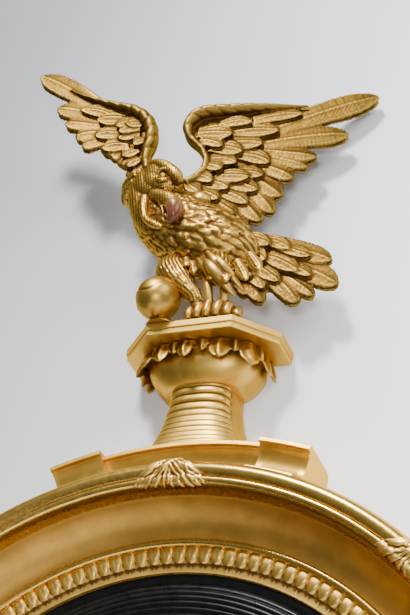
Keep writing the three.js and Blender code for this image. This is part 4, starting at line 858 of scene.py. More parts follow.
class GIRANDOLE_OT_ties(bpy.types.Operator):
    """The eight bound leaves: two layers of leaflets over the rounds of the moulding, under one voxel skin.
    Flat places (across x, up s, proud h) are carried to the section's outer curve q(s) + h n(s), turned to
    the angle x / 322 about the ring's axis, and the skin is repeated every 45 degrees."""
    bl_idname = "girandole.ties"
    bl_label = "Bound leaves"

    def execute(self, context):
        course = smooth([(331.4, 77.5), (331.0, 81.5), (328.8, 85.2), (325.2, 87.4), (321, 87.9), (317, 86.6),
                         (314, 86.0), (311, 86.4), (308.2, 84.9), (307.2, 81.0)], 80)
        run = along(course)
        normal = unit(np.stack([-np.gradient(course[:, 1]), np.gradient(course[:, 0])], 1))
        normal *= np.sign(normal[40, 1])
        side = [((1, 6), (14, 13)), ((2, 8), (25, 19)), ((3, 11), (33, 26)), ((4, 15), (37, 32)),
                ((3, 18), (30, 34)), ((2, 20), (20, 34.5)), ((1, 22), (9, 34.5)), ((14, 12), (30, 22)),
                ((12, 19), (25, 29)), ((-8, 4), (15, 26))]
        base = np.array([(k * b[0], b[1]) for k in (-1, 1) for b, _ in side] + [(0, 3)], float)
        tip = np.array([(k * t[0], t[1]) for k in (-1, 1) for _, t in side] + [(0, 31)], float)
        half = 0.66 * np.array(2 * [2.4, 2.8, 3.2, 3.4, 3.2, 3.0, 2.8, 2.6, 2.4, 2.0] + [2.6])
        rise = np.array(2 * [(0.6, 1.6), (0.6, 1.5), (0.5, 1.3), (0.4, 1.0), (0.8, 1.6), (0.8, 1.4),
                             (0.9, 1.6), (1.8, 2.2), (1.6, 2.4), (1.8, 2.6)] + [(1.2, 2.8)])
        bend = np.array([k * b for k in (1, -1) for b in (2, 2.5, 2.5, 2, 2, 1, 0.5, -1.5, -1, 1.5)] + [0.0])
        slant = np.where(np.arange(len(base)) < len(side), -1.0, 1.0)[:, None]
        more = (base + (1.4, 2.0), tip + slant * (-4.2, 0) + (0, 1.5))
        base, tip = (np.concatenate(pair) for pair in zip((base, tip), more))
        bend, rise = np.concatenate([bend, bend + 1.5]), np.concatenate([rise, rise + 0.5])
        half = np.tile(half, 2)
        flat = leaves(base, tip, half, rise, crown=1.1, thick=2.0, bend=bend, blunt=0.5, rib=-0.5, rows=20)
        s = np.clip(flat[..., 1], 0, run[-1])
        place = [np.interp(s, run, course[:, i]) for i in (0, 1)]
        out = [np.interp(s, run, normal[:, i]) for i in (0, 1)]
        r, d = (p + flat[..., 2] * n for p, n in zip(place, out))
        a = flat[..., 0] / TORUS[0]
        one = tube(np.stack([r * np.sin(a), -d, r * np.cos(a)], -1))
        obj = add_object("ties_fine", [one], material_of("leaf gold"))
        carve(obj, 0.70, 1)
        points, _ = read_mesh(obj.data)
        corners = np.empty(len(obj.data.loops), np.int64)
        obj.data.loops.foreach_get("vertex_index", corners)
        old, parts = obj.data, []
        for i in range(TIES):
            turn = Matrix.Rotation(math.radians(TIE_FIRST + 360 / TIES * i), 3, "Y")
            parts.append((points @ np.array(turn).T / MM, [corners.reshape(-1, 4)]))
        bpy.data.objects.remove(obj)
        bpy.data.meshes.remove(old)
        obj = add_object("ties_fine", parts, material_of("leaf gold"), 80)
        finished(mark_relief(obj, (1, 4), (0.5, 1.6)), "root", "carved_gold",
                 *[f"leaf_tie_{i + 1}" for i in range(TIES)])
        return {"FINISHED"}


# ---------------------------------------------------------------- crest and console

def rail_profile(front):
    """Section of the crest rail: foot, hollow, fillet, top and rounded back edge, as radius and depth."""
    toe = front + 9
    hollow = smooth([(336.6, toe - 0.2), (338.6, front - 3.4), (344.2, front - 9.6), (352, front - 11.0),
                     (360, front - 8.6), (366.5, front - 4.0)], 26)
    return [(CREST_SEAT, 0), (CREST_SEAT, 67.4), (331.1, 67.4), (331.1, toe), (336.2, toe),
            *map(tuple, hollow), (366.6, front - 0.6), (367.2, front), (371.0, front - 1.0),
            (CREST_TOP, front - 2.2),
            (CREST_TOP, 14), (371.4, 9), (369.4, 4.4), (366.4, 1.3), (362, 0)]


class GIRANDOLE_OT_crest(bpy.types.Operator):
    """The crest rail and its end blocks: the rail's section turned about the Y axis over 24.6 degrees, and 11
    further forward over 7.9 degrees at each end; the batten's slot is cut from the rail's back."""
    bl_idname = "girandole.crest"
    bl_label = "Crest rail"

    def execute(self, context):
        gold = material_of("crest gold")
        rail_front, block_front, rail_end, block_end = 50.5, 61.5, 12.3, 20.2
        middle = turned_ring(rail_profile(rail_front), 0.02 - rail_end, rail_end - 0.02, 60)
        rail = add_object("crest_rail_fine", [middle], gold)
        subtract(rail, [batten_slot(250, 420)])
        finished(mark_relief(bare_back(rail)), "root", "burnished_gold", "crest_rail")
        for side, sign in SIDES:
            low, high = sorted((sign * rail_end, sign * block_end))
            end = turned_ring(rail_profile(block_front), low, high, 24)
            obj = add_object(f"crest_block_{side}_fine", [end], gold)
            finished(mark_relief(bare_back(obj)), "root", "burnished_gold", f"crest_block_{side}")
        return {"FINISHED"}


def bowed(half, front, corner, count=96):
    """A plan from the wall round a bowed front: straight sides, then two quadratic curves
    (1-t)^2 a + 2 t (1-t) b + t^2 c that meet at the middle."""
    t = np.linspace(0, 1, count // 2)[:, None]
    a, b, c = np.array([(-half, corner - front), (-half, -front), (0, -front)], float)
    curve = (1 - t) ** 2 * a + 2 * t * (1 - t) * b + t ** 2 * c
    mirrored = curve[-2::-1] * (-1, 1)
    sides = np.linspace(0, corner - front, 8, endpoint=False)
    return np.concatenate([np.stack([0 * sides - half, sides], 1), curve, mirrored,
                           np.stack([0 * sides + half, sides[::-1]], 1)])


class GIRANDOLE_OT_console(bpy.types.Operator):
    """Neck, cup and slab, each a plan scaled at each height. Neck: scale 1 + 0.75 (1 - s)^2.2 across and
    1 + 0.16 (1 - s)^2.2 forward, with grooves d_i exp(-((z - z_i) / w_i)^2) cut in its front. Cup: scale
    0.68 + 0.33 e across and 0.76 + 0.25 e forward, e = sin^0.8(pi min(1, s / 0.62) / 2). Slab: a canted plan
    set in at each step of its edge, less the hole of the eagle's pin."""
    bl_idname = "girandole.console"
    bl_label = "Neck, cup and slab"

    def execute(self, context):
        sizes = context.scene.girandole_sizes
        gold = material_of("crest gold")
        foot, top = 364, 440
        z = np.linspace(foot, top, 190)
        s = (z - foot) / (top - foot)
        across = 1 + 0.75 * np.clip(1 - s, 0, 1) ** 2.2
        forward = 1 + 0.16 * np.clip(1 - s, 0, 1) ** 2.2
        plan = bowed(30, 40, 18)
        lines = np.array([437.6, 430, 421, 412, 405, 398.5, 392.5, 387, 381.5, 377])
        depth = np.array([0.5, 1.0, 1.0, 0.34, 0.13, 0.10, 0.15, 0.07, 0.06, 0.05]) * sizes.neck_reed / MM
        width = np.array([1.3, 1.5, 1.5, 1.4, 1.2, 1.1, 1.0, 1.0, 1.0, 1.0])
        cut = np.sum(depth * np.exp(-((z[:, None] - lines) / width) ** 2), 1)
        swell = np.interp(z, [372, 402, 414, 440], [0, 0, 0.9, 1.1])
        on_front = np.clip((-plan[:, 1] - 23.5) / 1.6, 0, 1)
        push = (swell - cut)[:, None] * on_front
        out = unit(plan * (0.8, 1.0) + (0, 12))
        flare = np.sign(plan[:, 0]) * 5.0 * np.clip(1 + plan[:, 1] / 22.0, 0, 1)
        x = (plan[:, 0] + flare) * across[:, None] + push * out[:, 0]
        y = plan[:, 1] * forward[:, None] + push * out[:, 1]
        neck = add_object("neck_fine", [tube(np.stack([x, y, z[:, None] + 0 * x], -1))], gold, 50)
        bar = turned_ring([(300, -10), (CREST_TOP + 0.3, -10), (CREST_TOP + 0.3, 90), (300, 90)], -20, 20, 80)
        subtract(neck, [bar, batten_slot(350, 402.3)])
        finished(mark_relief(bare_back(neck)), "root", "burnished_gold", "crest_neck")

        foot, top = 440.3, 478.5
        z = np.linspace(foot, top, 44)
        s = (z - foot) / (top - foot)
        rise = np.sin(np.pi * np.minimum(1, s / 0.62) / 2)[:, None, None] ** 0.8
        plan = bowed(55, 55, 33)
        height = z[:, None, None] + 0 * plan[:, :1]
        lattice = np.concatenate([plan * (0.68, 0.76) + plan * (0.33, 0.25) * rise, height], -1)
        cup = add_object("cup_fine", [tube(lattice)], gold, 50)
        finished(mark_relief(bare_back(cup)), "root", "burnished_gold", "crest_cup")

        edge = [(12, 478.8), (2.2, 478.8), (1.6, 479.3), (1.4, 484.4), (0.9, 484.9), (0.1, 485.1), (0, 490.9),
                (0.5, SLAB_TOP)]
        inset, height = np.array(edge).T[:, :, None]
        half, front = 81.15 - inset, SLAB_FRONT - inset
        fore, canted = 43.75 - 0.4 * inset, 37.5 - 0.4 * inset
        x = np.concatenate([-half, -half, -fore, fore, half, half], 1)
        y = np.concatenate([0 * half, -canted, -front, -front, -canted, 0 * half], 1)
        slab = add_object("slab_fine", [tube(np.stack([x, y, height + 0 * x], -1))], gold, 25)
        pin_hole = spun([(0, 0), (3.3, 0), (3.3, 30), (0, 30)], (28, -61.9, 480.5), 24)
        subtract(slab, [pin_hole])
        finished(mark_relief(bare_back(slab)), "root", "burnished_gold", "crest_slab")
        return {"FINISHED"}


class GIRANDOLE_OT_collar(bpy.types.Operator):
    """The collar under the slab: big lobed leaves round the cup, each hanging from its band and curling out,
    with small ones between. A leaf's flat places go to p(x) + o (1.5 + 8.5 e^1.3 + h), e the drop over 25 up
    to 1, o the outward way of the plan; a small one curls a fifth as far. Painted shade darkens the band and
    the leaves' tops under the slab."""
    bl_idname = "girandole.collar"
    bl_label = "Leaf collar"

    def execute(self, context):
        plan = bowed(57.5, 57.5, 33, 200)
        run = along(plan)
        way = unit(np.gradient(plan, axis=0))
        out = np.stack([way[:, 1], -way[:, 0]], 1)
        out *= np.sign(out[100, 1]) * -1
        total = run[-1]
        share, drop, half, lean = np.array([
            (0.04, 21, 10, 0), (0.11, 22, 10, -2), (0.18, 24, 10, 2), (0.25, 25, 10, -2), (0.345, 25, 11, 3),
            (0.465, 23.5, 11, 3), (0.635, 28, 14, 2), (0.77, 31, 13, 0), (0.88, 30, 11, -2),
            (0.965, 24, 10, 0), (0.55, 13, 8, 0), (0.705, 17, 7, 0), (0.83, 18, 7, 0), (0.405, 14, 7, 0),
            (0.295, 14, 6, 0),
            (0.215, 14, 6, 0)]).T
        middle = share * total
        count = len(middle)
        lift = np.where(drop > 16, 1.0, 0.2)
        base = np.stack([middle, np.zeros(count)], 1)
        tip = np.stack([middle + lean, drop], 1)
        flat = leaves(base, tip, half, (0.5, 0.5), crown=4.6, thick=2.0, blunt=0.40, rib=0.7, bend=0.4 * lean,
                      strand=1.0, folds=1, point=0.40, lip=0.3, rows=30, columns=23)
        e = flat[..., 1] / 25.0
        x = np.clip(flat[..., 0], 0, total)
        p = [np.interp(x, run, plan[:, i]) for i in (0, 1)]
        o = [np.interp(x, run, out[:, i]) for i in (0, 1)]
        curl = lift[:, None, None] * 8.5 * np.clip(e, 0, 1.0) ** 1.3 + flat[..., 2] + 1.5
        z = 477.5 - flat[..., 1] + 0.35 * flat[..., 2] * e
        lobes = tube(np.stack([p[0] + curl * o[0], p[1] + curl * o[1], z], -1))
        band_plan = bowed(59.6, 59.6, 33)
        inner = bowed(54, 54, 33)
        band = ((band_plan, 478.4), (band_plan, 474.5), (inner, 470), (inner * (0.9, 0.9), 478.4))
        rows = [np.concatenate([q, np.full((len(q), 1), h)], 1) for q, h in band]
        obj = add_object("collar_fine", [lobes, tube(np.array(rows))], material_of("carved gold"))
        carve(obj, 1.0)
        mark_relief(obj, (1, 6), (0.8, 2.6))
        points, _ = read_mesh(obj.data)
        # Painted shade: the relief is lowered towards the top, under the slab.
        shift_relief(obj, -np.interp(points[:, 2], [0.455, 0.477], [0, 0.25]))
        finished(obj, "root", "carved_gold", "crest_collar")
        return {"FINISHED"}


# ---------------------------------------------------------------- the eagle

def feathered(plane, sizes):
    """Rows of feathers on a plane, front and back, over a core plate: quills with oblique barbs and notched
    edges first, then softly folded coverts. The plate is the core's outline drawn in towards its middle,
    m + k (p - m), at four heights."""
    parts = []
    crown, barb = sizes.feather_crown / MM, sizes.barb_depth / MM
    for level, row in enumerate(plane["rows"]):
        tips, bases = (np.array([leaf[k] for leaf in row["leaves"]], float) for k in (0, 1))
        half = np.array([leaf[2] for leaf in row["leaves"]], float)
        vary = 0.5 * np.sin(np.arange(len(half)) * 2.3 + level)
        shape = dict(crown=crown, tilt=-1.3 + vary * 0.8, bend=2.0 + 3 * vary, thick=2.4 + 1.4 * level)
        if level == 0:
            shape.update(barb=barb * 1.1, vane=4.2, jag=0.10, rib=0.9, blunt=0.30, thick=3.2, rows=70,
                         columns=23)
        else:
            shape.update(crown=0.6 * crown, barb=barb * 0.3, vane=5.4, strand=0.8, folds=2, rib=0.5,
                         blunt=0.62, jag=0.05, lip=0.7, rows=40, columns=27)
        parts.append(tube(on_plane(leaves(bases, tips, half, row["rise"], **shape), plane)))
        if level < 3:
            flat = leaves(bases, tips, half, row["rise"], **{**shape, "thick": 2.4})
            flat[..., 2] *= -1
            parts.append(tube(on_plane(flat - (0, 0, 1.0), plane)))
    core = smooth(plane["core"], 120, closed=True)
    middle = core.mean(0)
    rows = [np.concatenate([middle + (core - middle) * k, np.full((len(core), 1), h)], 1)
            for k, h in ((0.80, -4.5), (0.95, -2.5), (0.96, 0.0), (0.85, 1.4))]
    parts.append(tube(on_plane(np.array(rows), plane)))
    return parts


class GIRANDOLE_OT_wings(bpy.types.Operator):
    """The wings: rows of feathers on each wing's upright plane, each row proud of the last, under a leading
    edge rolled like a rope, r (1 - 0.13 cos^6(pi (s / 15 + 2 a))), a from 0 to 1 round it; one voxel skin
    over them."""
    bl_idname = "girandole.wings"
    bl_label = "Wings"

    def execute(self, context):
        sizes = context.scene.girandole_sizes
        for side, wing in WINGS.items():
            parts = feathered(wing, sizes)
            line = smooth(wing["roll"], 240)
            run = along(line)[:, None]
            radius = evenly(wing["roll_radius"], len(line))[:, None]
            a = np.linspace(0, 1, 30, endpoint=False)[None, :]
            rope = radius * (1 - 0.13 * np.cos(np.pi * (run / 15.0 + 2 * a)) ** 6)
            course = on_plane(np.concatenate([line, 6.5 - 0.4 * (6 - radius)], 1), wing)
            parts.append(swept(course, rope, 30, 1.15, (0, 1, 0.01)))
            back = on_plane(np.concatenate([line, -2.0 + 0 * radius], 1), wing)
            parts.append(swept(back, radius * 0.8, 16, 1.0, (0, 1, 0.01)))
            obj = add_object(f"wing_{side}_fine", parts, material_of("feather gold"))
            carve(obj, carving_voxel(context), 1)
            finished(mark_relief(obj), "root", "carved_gold", f"eagle_wing_{side}")
        return {"FINISHED"}


class GIRANDOLE_OT_tail(bpy.types.Operator):
    """The tail: three rows of feathers on its upright plane under one voxel skin."""
    bl_idname = "girandole.tail"
    bl_label = "Tail"

    def execute(self, context):
        parts = feathered(TAIL, context.scene.girandole_sizes)
        obj = add_object("tail_fine", parts, material_of("feather gold"))
        carve(obj, carving_voxel(context), 1)
        finished(mark_relief(obj), "root", "carved_gold", "eagle_tail")
        return {"FINISHED"}


def on_trunk(flat):
    """Places (round x, along s, proud h) on the trunk: axis(s) + (f + h) cos g F + (w + h) sin g G, with
    g = x / 32 and s from rump to neck, and the axis's length."""
    count = 160
    axis = smooth(TRUNK_AXIS, count)
    run = along(axis)
    t = unit(np.gradient(axis, axis=0))
    front = unit(np.array([0, -1.0, 0]) - t * t[:, 1:2] * -1.0)
    across = np.cross(t, front)
    f = smooth(np.array(TRUNK_FRONT)[:, None], count)[:, 0]
    w = smooth(np.array(TRUNK_ACROSS)[:, None], count)[:, 0]
    s = np.clip(flat[..., 1], 0, run[-1])
    g = flat[..., 0] / TRUNK_TURN
    out = (np.interp(s, run, f) + flat[..., 2]) * np.cos(g)
    side = (np.interp(s, run, w) + flat[..., 2]) * np.sin(g)
    places = [np.interp(s, run, c) + out * np.interp(s, run, n) + side * np.interp(s, run, b)
              for c, n, b in zip(axis.T, front.T, across.T)]
    return np.stack(places, -1), run[-1]


class GIRANDOLE_OT_trunk(bpy.types.Operator):
    """The trunk: an oval form along a curved axis from rump to neck, covered by rows of long narrow feathers
    that lie towards the rump, with an oval swelling for the breast, under one voxel skin. Painted shade
    darkens the place under the beak."""
    bl_idname = "girandole.trunk"
    bl_label = "Trunk"

    def execute(self, context):
        _, length = on_trunk(np.zeros((1, 3)))
        s = np.linspace(0, length, 60)[:, None]
        g = np.linspace(-np.pi, np.pi, 64, endpoint=False) * TRUNK_TURN
        form, _ = on_trunk(np.stack([g + 0 * s, s + 0 * g, 0 * s + 0 * g], -1))
        parts = [tube(form)]
        rng = np.random.default_rng(7)
        base, tip, half, level = [], [], [], 12.0
        while level < length - 4:
            wide = np.interp(level, [0, 60, 95, 150], [6.6, 5.4, 3.1, 2.5])
            count = int(200 / (1.75 * wide))
            around = (np.arange(count) + rng.random()) * 1.75 * wide - 100
            around = around + 0.25 * wide * rng.standard_normal(count)
            start = level + 0.4 * wide * rng.standard_normal(count)
            base.append(np.stack([around, start], 1))
            reach = wide * (np.interp(wide, [2.5, 6], [5.2, 3.2]) + 1.2 * rng.random(count))
            tip.append(np.stack([around + 3 + 0.6 * wide * rng.standard_normal(count), start - reach], 1))
            half.append(wide * (0.85 + 0.35 * rng.random(count)))
            level += 1.45 * wide
        base, tip, half = np.concatenate(base), np.concatenate(tip), np.concatenate(half)
        lift = 0.30 * half + 1.2 * rng.random(len(base))
        flat = leaves(base, tip, half, np.stack([-1.4 + 0 * lift, lift], 1), crown=0.24 * half[:, None, None],
                      thick=3.4, blunt=0.5, rib=0.5, bend=0.4 * half * rng.standard_normal(len(base)),
                      tilt=0.12 * half * rng.standard_normal(len(base)), strand=0.6, folds=2, rows=18,
                      columns=15)
        placed, _ = on_trunk(flat)
        parts += [tube(placed), ball((-10, -72, 641), (13, 9, 11), axis=(0.5, 0, -0.8))]
        obj = add_object("trunk_fine", parts, material_of("carved gold"))
        mark_relief(carve(obj, carving_voxel(context), 1))
        # Painted shade: darker relief under the beak.
        finished(shade_near(obj, [(-44, -90, 619)], 11, -0.6), "root", "carved_gold", "eagle_body")
        return {"FINISHED"}


# Head: oval forms (middle, half axes, long axis) for skull, nape and cheeks, then bars (line, radii,
# flatness) for upper beak, jaw, tongue, brow, the two eyelids and two locks behind the head.
HEAD_LOOK = (0.74, -0.28, -0.62)
HEAD_OVALS = [
    ((-53, -77, 670), (19, 19, 31), HEAD_LOOK), ((-66, -76, 667), (18, 17, 25), (0.4, -0.2, -0.8)),
    ((-61, -81, 661), (16, 12, 21), HEAD_LOOK), ((-57, -81, 676), (16, 13, 19), HEAD_LOOK),
    ((-46, -87, 657), (12, 11, 16), HEAD_LOOK), ((-56, -83, 667), (17, 13, 24), HEAD_LOOK),
]
HEAD_BARS = [
    ([(-57, -86, 648), (-48.8, -91, 640), (-31.8, -96, 627.5), (-23.2, -98.5, 615.5), (-22.6, -98.5, 605.5),
      (-26.5, -97, 601), (-30, -95, 600)], [4.8, 6.8, 8.6, 9.2, 7.8, 4.6, 1.4], 1.0),
    ([(-67, -80, 653), (-65, -83, 645), (-63, -86, 630.5), (-57, -88, 615), (-46.5, -90, 603.5),
      (-37, -90, 598.4)], [6, 6.4, 5.8, 5.2, 4.4, 2.4], 1.0),
    ([(-53.3, -93, 643.6), (-43.6, -97.5, 628.2), (-35.5, -99.5, 613.5), (-33.6, -98.5, 604.9)],
     [1.0, 1.3, 1.3, 0.8], 0.8),
    ([(-68, -82, 693), (-58, -87, 689), (-47, -91, 680), (-37, -93.5, 670), (-29, -94, 661), (-24, -91, 652)],
     [2.4, 4.6, 6.2, 6.8, 6.6, 4.0], 1.0),
    ([(-50, -96, 662), (-47, -98.5, 656), (-41.5, -99.5, 653.5), (-36, -98, 655)], [1.2, 2.0, 2.0, 1.2], 1.0),
    ([(-50, -96, 663), (-46.5, -98, 668), (-41, -98.5, 668), (-36, -97, 663)], [1.2, 1.8, 1.8, 1.2], 1.0),
    ([(-84, -72, 690), (-94, -66, 689), (-101, -62, 683), (-102, -61, 674)], [6, 7, 6, 3], 1.0),
    ([(-86, -72, 680), (-95, -66, 676), (-100, -61, 668), (-98, -60, 660)], [6, 7, 5.4, 2.6], 1.0),
]
NAPE = [(-76, -68, 690), (-75, -71, 668), (-69, -71, 646), (-58, -70, 624), (-42, -68, 602)]
HOOK = [(-23.5, -99, 616.5), (-22.2, -100, 611), (-22.6, -99, 605.5), (-27, -98, 601)]
UNDER_BROW = [(-67, -84, 692), (-56, -91, 679), (-44, -96, 667), (-37, -98, 660), (-33, -98, 655)]


class GIRANDOLE_OT_head(bpy.types.Operator):
    """The head: skull, cheeks, brow, hooked beak, jaw, tongue and eyelids as oval and swept forms, with
    layers of fine feathers down the nape, under one voxel skin. Eye and mouth are pushed in by
    h exp(-(d / r)^2) and the face is stippled, 0.4 sin(a . p) sin(b . p) along its normal. The gold is worn
    off the beak's hook, and painted shade darkens the mouth, the brow's underside and a spot at the brow's
    end. The eyeball is a separate oval."""
    bl_idname = "girandole.head"
    bl_label = "Head"

    def execute(self, context):
        parts = [ball(middle, radii, axis=axis) for middle, radii, axis in HEAD_OVALS]
        parts += [swept(smooth(line, 40), evenly(girth, 40), 18, flat) for line, girth, flat in HEAD_BARS]
        neck = smooth(NAPE, 60)
        girth = np.interp(np.linspace(0, 1, 60), [0, 0.3, 0.6, 0.8, 1], [9, 15, 17, 16, 12])
        parts.append(swept(neck, girth - 1.0, 32, 0.95))
        for k, start in enumerate(np.linspace(0.02, 0.74, 8)):
            parts += strands(neck, girth, 26, start, start + 0.25, 1.7, 2.2, 0.95, 0.11 * k)
        obj = add_object("head_fine", parts, material_of("carved gold"))
        carve(obj, carving_voxel(context, 0.85), 1)
        mesh = obj.data
        points, _ = read_mesh(mesh)
        normals = read_normals(mesh)
        gap = np.min([np.linalg.norm(points - place, axis=1) for place in smooth(HOOK, 24) * MM], 0)
        worn = np.clip(2 - 2 * gap / (10.5 * MM), 0, 1)
        dots = np.sin(points @ np.array([0.8, 0.3, 1.1]) / (0.75 * MM))
        dots *= np.sin(points @ np.array([1.0, 0.4, -0.7]) / (0.75 * MM)) * np.clip(1 - 2 * worn, 0, 1)
        points = points + 0.4 * MM * dots[:, None] * normals
        eye_socket = ((-43.5, -99, 660.5), 4.4, 3.2, -normals)
        mouth = ((-48, -91, 621), 8.5, 8.0, (0, 1, 0))
        for place, reach, depth, way in (eye_socket, mouth):
            gap = np.linalg.norm(points - np.array(place) * MM, axis=1)
            near = np.exp(-(gap / (reach * MM)) ** 2)[:, None]
            points = points + depth * MM * near * np.asarray(way)
        move_points(mesh, points)
        mark_relief(obj)
        # Painted shade: darker relief in the mouth, under the brow and at the brow's end.
        shade_near(obj, [(-47, -88, 620), (-52, -88, 630), (-42, -90, 610)], 9.5, -0.8)
        shade_near(obj, smooth(UNDER_BROW, 12), 3.0, -0.5)
        shade_near(obj, [(-26, -96, 650), (-28, -98, 645)], 6.5, -0.8)
        store(mesh, "worn", worn)
        finished(obj, "root", "carved_gold", "eagle_head")
        eyeball = ball((-42.8, -96.6, 660.5), (3.9, 3.6, 3.4))
        lens = add_object("eye_fine", [eyeball], material_of("carved gold"))
        finished(mark_relief(lens), "root", "carved_gold")
        return {"FINISHED"}


# Legs: the thigh's line and radii, shanks, the foot with its rounded back (middle, half axes), and each toe's
# knuckle and tip.
LEGS = {
    "left": {
        "thigh": [(-30, -66, 566), (-27, -72, 554), (-19, -75, 542), (-8, -75, 530), (3, -74, 516),
                  (5, -71, 500)],
        "girth": [15, 16, 13.5, 9.5, 5.5, 5],
        "shanks": [],
        "foot": (6, -62, 500), "dome": ((5, -67, 499), (12, 8.5, 10.5)),
        "toes": [((-1, -71, 505), (-3.5, -72.5, 494)), ((8, -72, 508), (6, -73.5, 494))],
    },
    "right": {
        "thigh": [(12, -62, 572), (18, -70, 556), (21, -74, 543), (24, -74, 533)],
        "girth": [15, 15, 12, 7],
        "shanks": [[(10, -74, 548), (13, -75, 534), (16, -74, 518), (17, -71, 502)],
                   [(28, -71, 542), (30, -72, 528), (31, -70, 514), (30, -68, 502)]],
        "foot": (29, -60, 500), "dome": ((22, -64.5, 498), (25, 9.5, 15)),
        "toes": [((17.5, -72, 509), (15.5, -73.5, 494)), ((27.5, -71.5, 509), (25.5, -73.5, 494)),
                 ((37, -69, 507), (36, -72.5, 494)), ((45, -64, 503), (46, -69, 493))],
    },
}

# Feathers over the flank, on a plane facing front, and the line of the pointed feathers on the right thigh
# with their shifts and radii.
FLANK = {
    "origin": (0.0, -83.0), "turn": (1.0, 0.0), "front": 1.0,
    "leaves": [
        ((36.9, 32.1), (26.0, 59.7), 7),
        ((7.5, 53.2), (9.2, 73.9), 7),
        ((57.8, 31.2), (42.3, 61.5), 6.5),
        ((1.7, 47.6), (-4.0, 67.2), 5),
        ((19.7, 37.8), (16.4, 54.7), 5),
        ((70.3, 41.0), (54.4, 68.3), 7),
        ((-8.0, 57.7), (-12.2, 72.9), 6),
    ],
}
QUILL = [(9, -82, 558), (20, -86, 543), (32, -81, 528), (44, -70, 513)]
QUILLS = (((0, 0, 0), 5.8), ((-8, 2, 3), 4.4), ((8, 1, 6), 4.6), ((1, 1, 10), 4.6))

# The ball under the left claw.
BALL_CENTRE, BALL_RADIUS = (-34.5, -79.6, 517.2), 22.2


class GIRANDOLE_OT_legs(bpy.types.Operator):
    """The legs: thighs under layers of fine feathers, shanks, feet with toes that arch over a knuckle down to
    the slab's edge, and on the right four pointed feathers and the flank's broad ones, each leg under one
    voxel skin. The ball is a sphere 22.2 + 0.25 sin(5 f + 2 g) sin 3 g, less creases 0.9 exp(-(c / 0.05)^2)
    on its upper left with c = n . w - 0.5 + 0.14 sin 3 g or n . w - 0.72 + 0.08 sin 7 f, on its mound."""
    bl_idname = "girandole.legs"
    bl_label = "Legs and ball"

    def execute(self, context):
        for side, leg in LEGS.items():
            thigh = smooth(leg["thigh"], 60)
            reach = evenly(leg["girth"], 60)
            parts = [swept(thigh, reach, 28, 0.9)]
            for k in range(6):
                start = 0.02 + 0.12 * k
                parts += strands(thigh, reach, 28 - 3 * k, start, start + 0.24, 1.35, 2.2, 0.9, 0.17 * k)
            for shank in leg["shanks"]:
                parts.append(swept(smooth(shank, 24), np.linspace(5.4, 4.0, 24), 14))
            foot = np.array(leg["foot"], float)
            parts.append(ball(leg["dome"][0], leg["dome"][1]))
            for high, low in leg["toes"]:
                high, low = np.array(high, float), np.array(low, float)
                rise, fall = 0.5 * (foot + high) + (0, 0, 3.0), 0.45 * high + 0.55 * low + (0, -1.6, 0)
                path = smooth([foot, rise, high, fall, low], 40)
                toe = np.interp(np.linspace(0, 1, 40), [0, 0.3, 0.5, 0.62, 0.8, 1],
                                [3.8, 4.0, 4.5, 4.5, 4.4, 4.0])
                parts.append(swept(path, toe, 16))
            if side == "right":
                taper = np.sin(np.pi * np.linspace(0.12, 0.99, 50)) ** 0.8
                for shift, girth in QUILLS:
                    parts.append(swept(smooth(np.array(QUILL) + shift, 50), girth * taper, 16, 0.6))
                tips, bases = (np.array([leaf[k] for leaf in FLANK["leaves"]], float) for k in (0, 1))
                half = np.array([leaf[2] for leaf in FLANK["leaves"]])
                flat = leaves(bases, tips, half, (-3, 1.5), crown=2.0, thick=4.0, blunt=0.5, strand=0.8,
                              folds=2, jag=0.06, rows=30, columns=21)
                parts.append(tube(on_plane(flat, FLANK)))
            obj = add_object(f"leg_{side}_fine", parts, material_of("carved gold"))
            carve(obj, carving_voxel(context, 0.85), 1)
            points, _ = read_mesh(obj.data)
            points[:, 2] = np.maximum(points[:, 2], (SLAB_TOP + 0.25) * MM)
            move_points(obj.data, points)
            finished(mark_relief(obj), "root", "carved_gold", f"eagle_leg_{side}")
        f = np.linspace(0.02, np.pi - 0.02, 90)[:, None]
        g = np.linspace(0, 2 * np.pi, 120, endpoint=False)
        way = np.stack([np.sin(f) * np.cos(g), np.sin(f) * np.sin(g), np.cos(f) + 0 * g], -1)
        crease = way @ unit(np.array([-0.25, -0.45, 0.86])) - 0.5 + 0.14 * np.sin(3 * g)
        flap = way @ unit(np.array([-0.9, -0.3, 0.5])) - 0.72 + 0.08 * np.sin(7 * f)
        near = np.clip(1.4 * way @ unit(np.array([-0.75, -0.4, 0.5])), 0, 1)
        radius = BALL_RADIUS - 0.9 * near * (np.exp(-(crease / 0.05) ** 2) + np.exp(-(flap / 0.05) ** 2))
        radius = radius + 0.25 * np.sin(5 * f + 2 * g) * np.sin(3 * g)
        mound = spun([(0, 0), (15, 0), (15, 1), (13, 4), (9, 9), (0, 9)], (-33, -66.9, SLAB_TOP + 0.3))
        form = [tube(radius[..., None] * way + BALL_CENTRE), mound]
        obj = add_object("ball_fine", form, material_of("carved gold"))
        finished(mark_relief(obj), "root", "carved_gold", "carved_ball")
        return {"FINISHED"}


# ---------------------------------------------------------------- arms, hangers and back

def swivel(sign):
    """The middle of an arm's socket."""
    x, _, z = on_round(sign * ARM_ANGLE, 324, 0)
    return np.array([x + sign * 22, -45.0, z])


def arm_point(sign, out, rise):
    """A point of an arm at rest: out along it at 45 degrees forward, and above its socket."""
    c = math.cos(math.radians(ARM_FORWARD))
    return swivel(sign) + (sign * c * out, -c * out, 9 + rise)


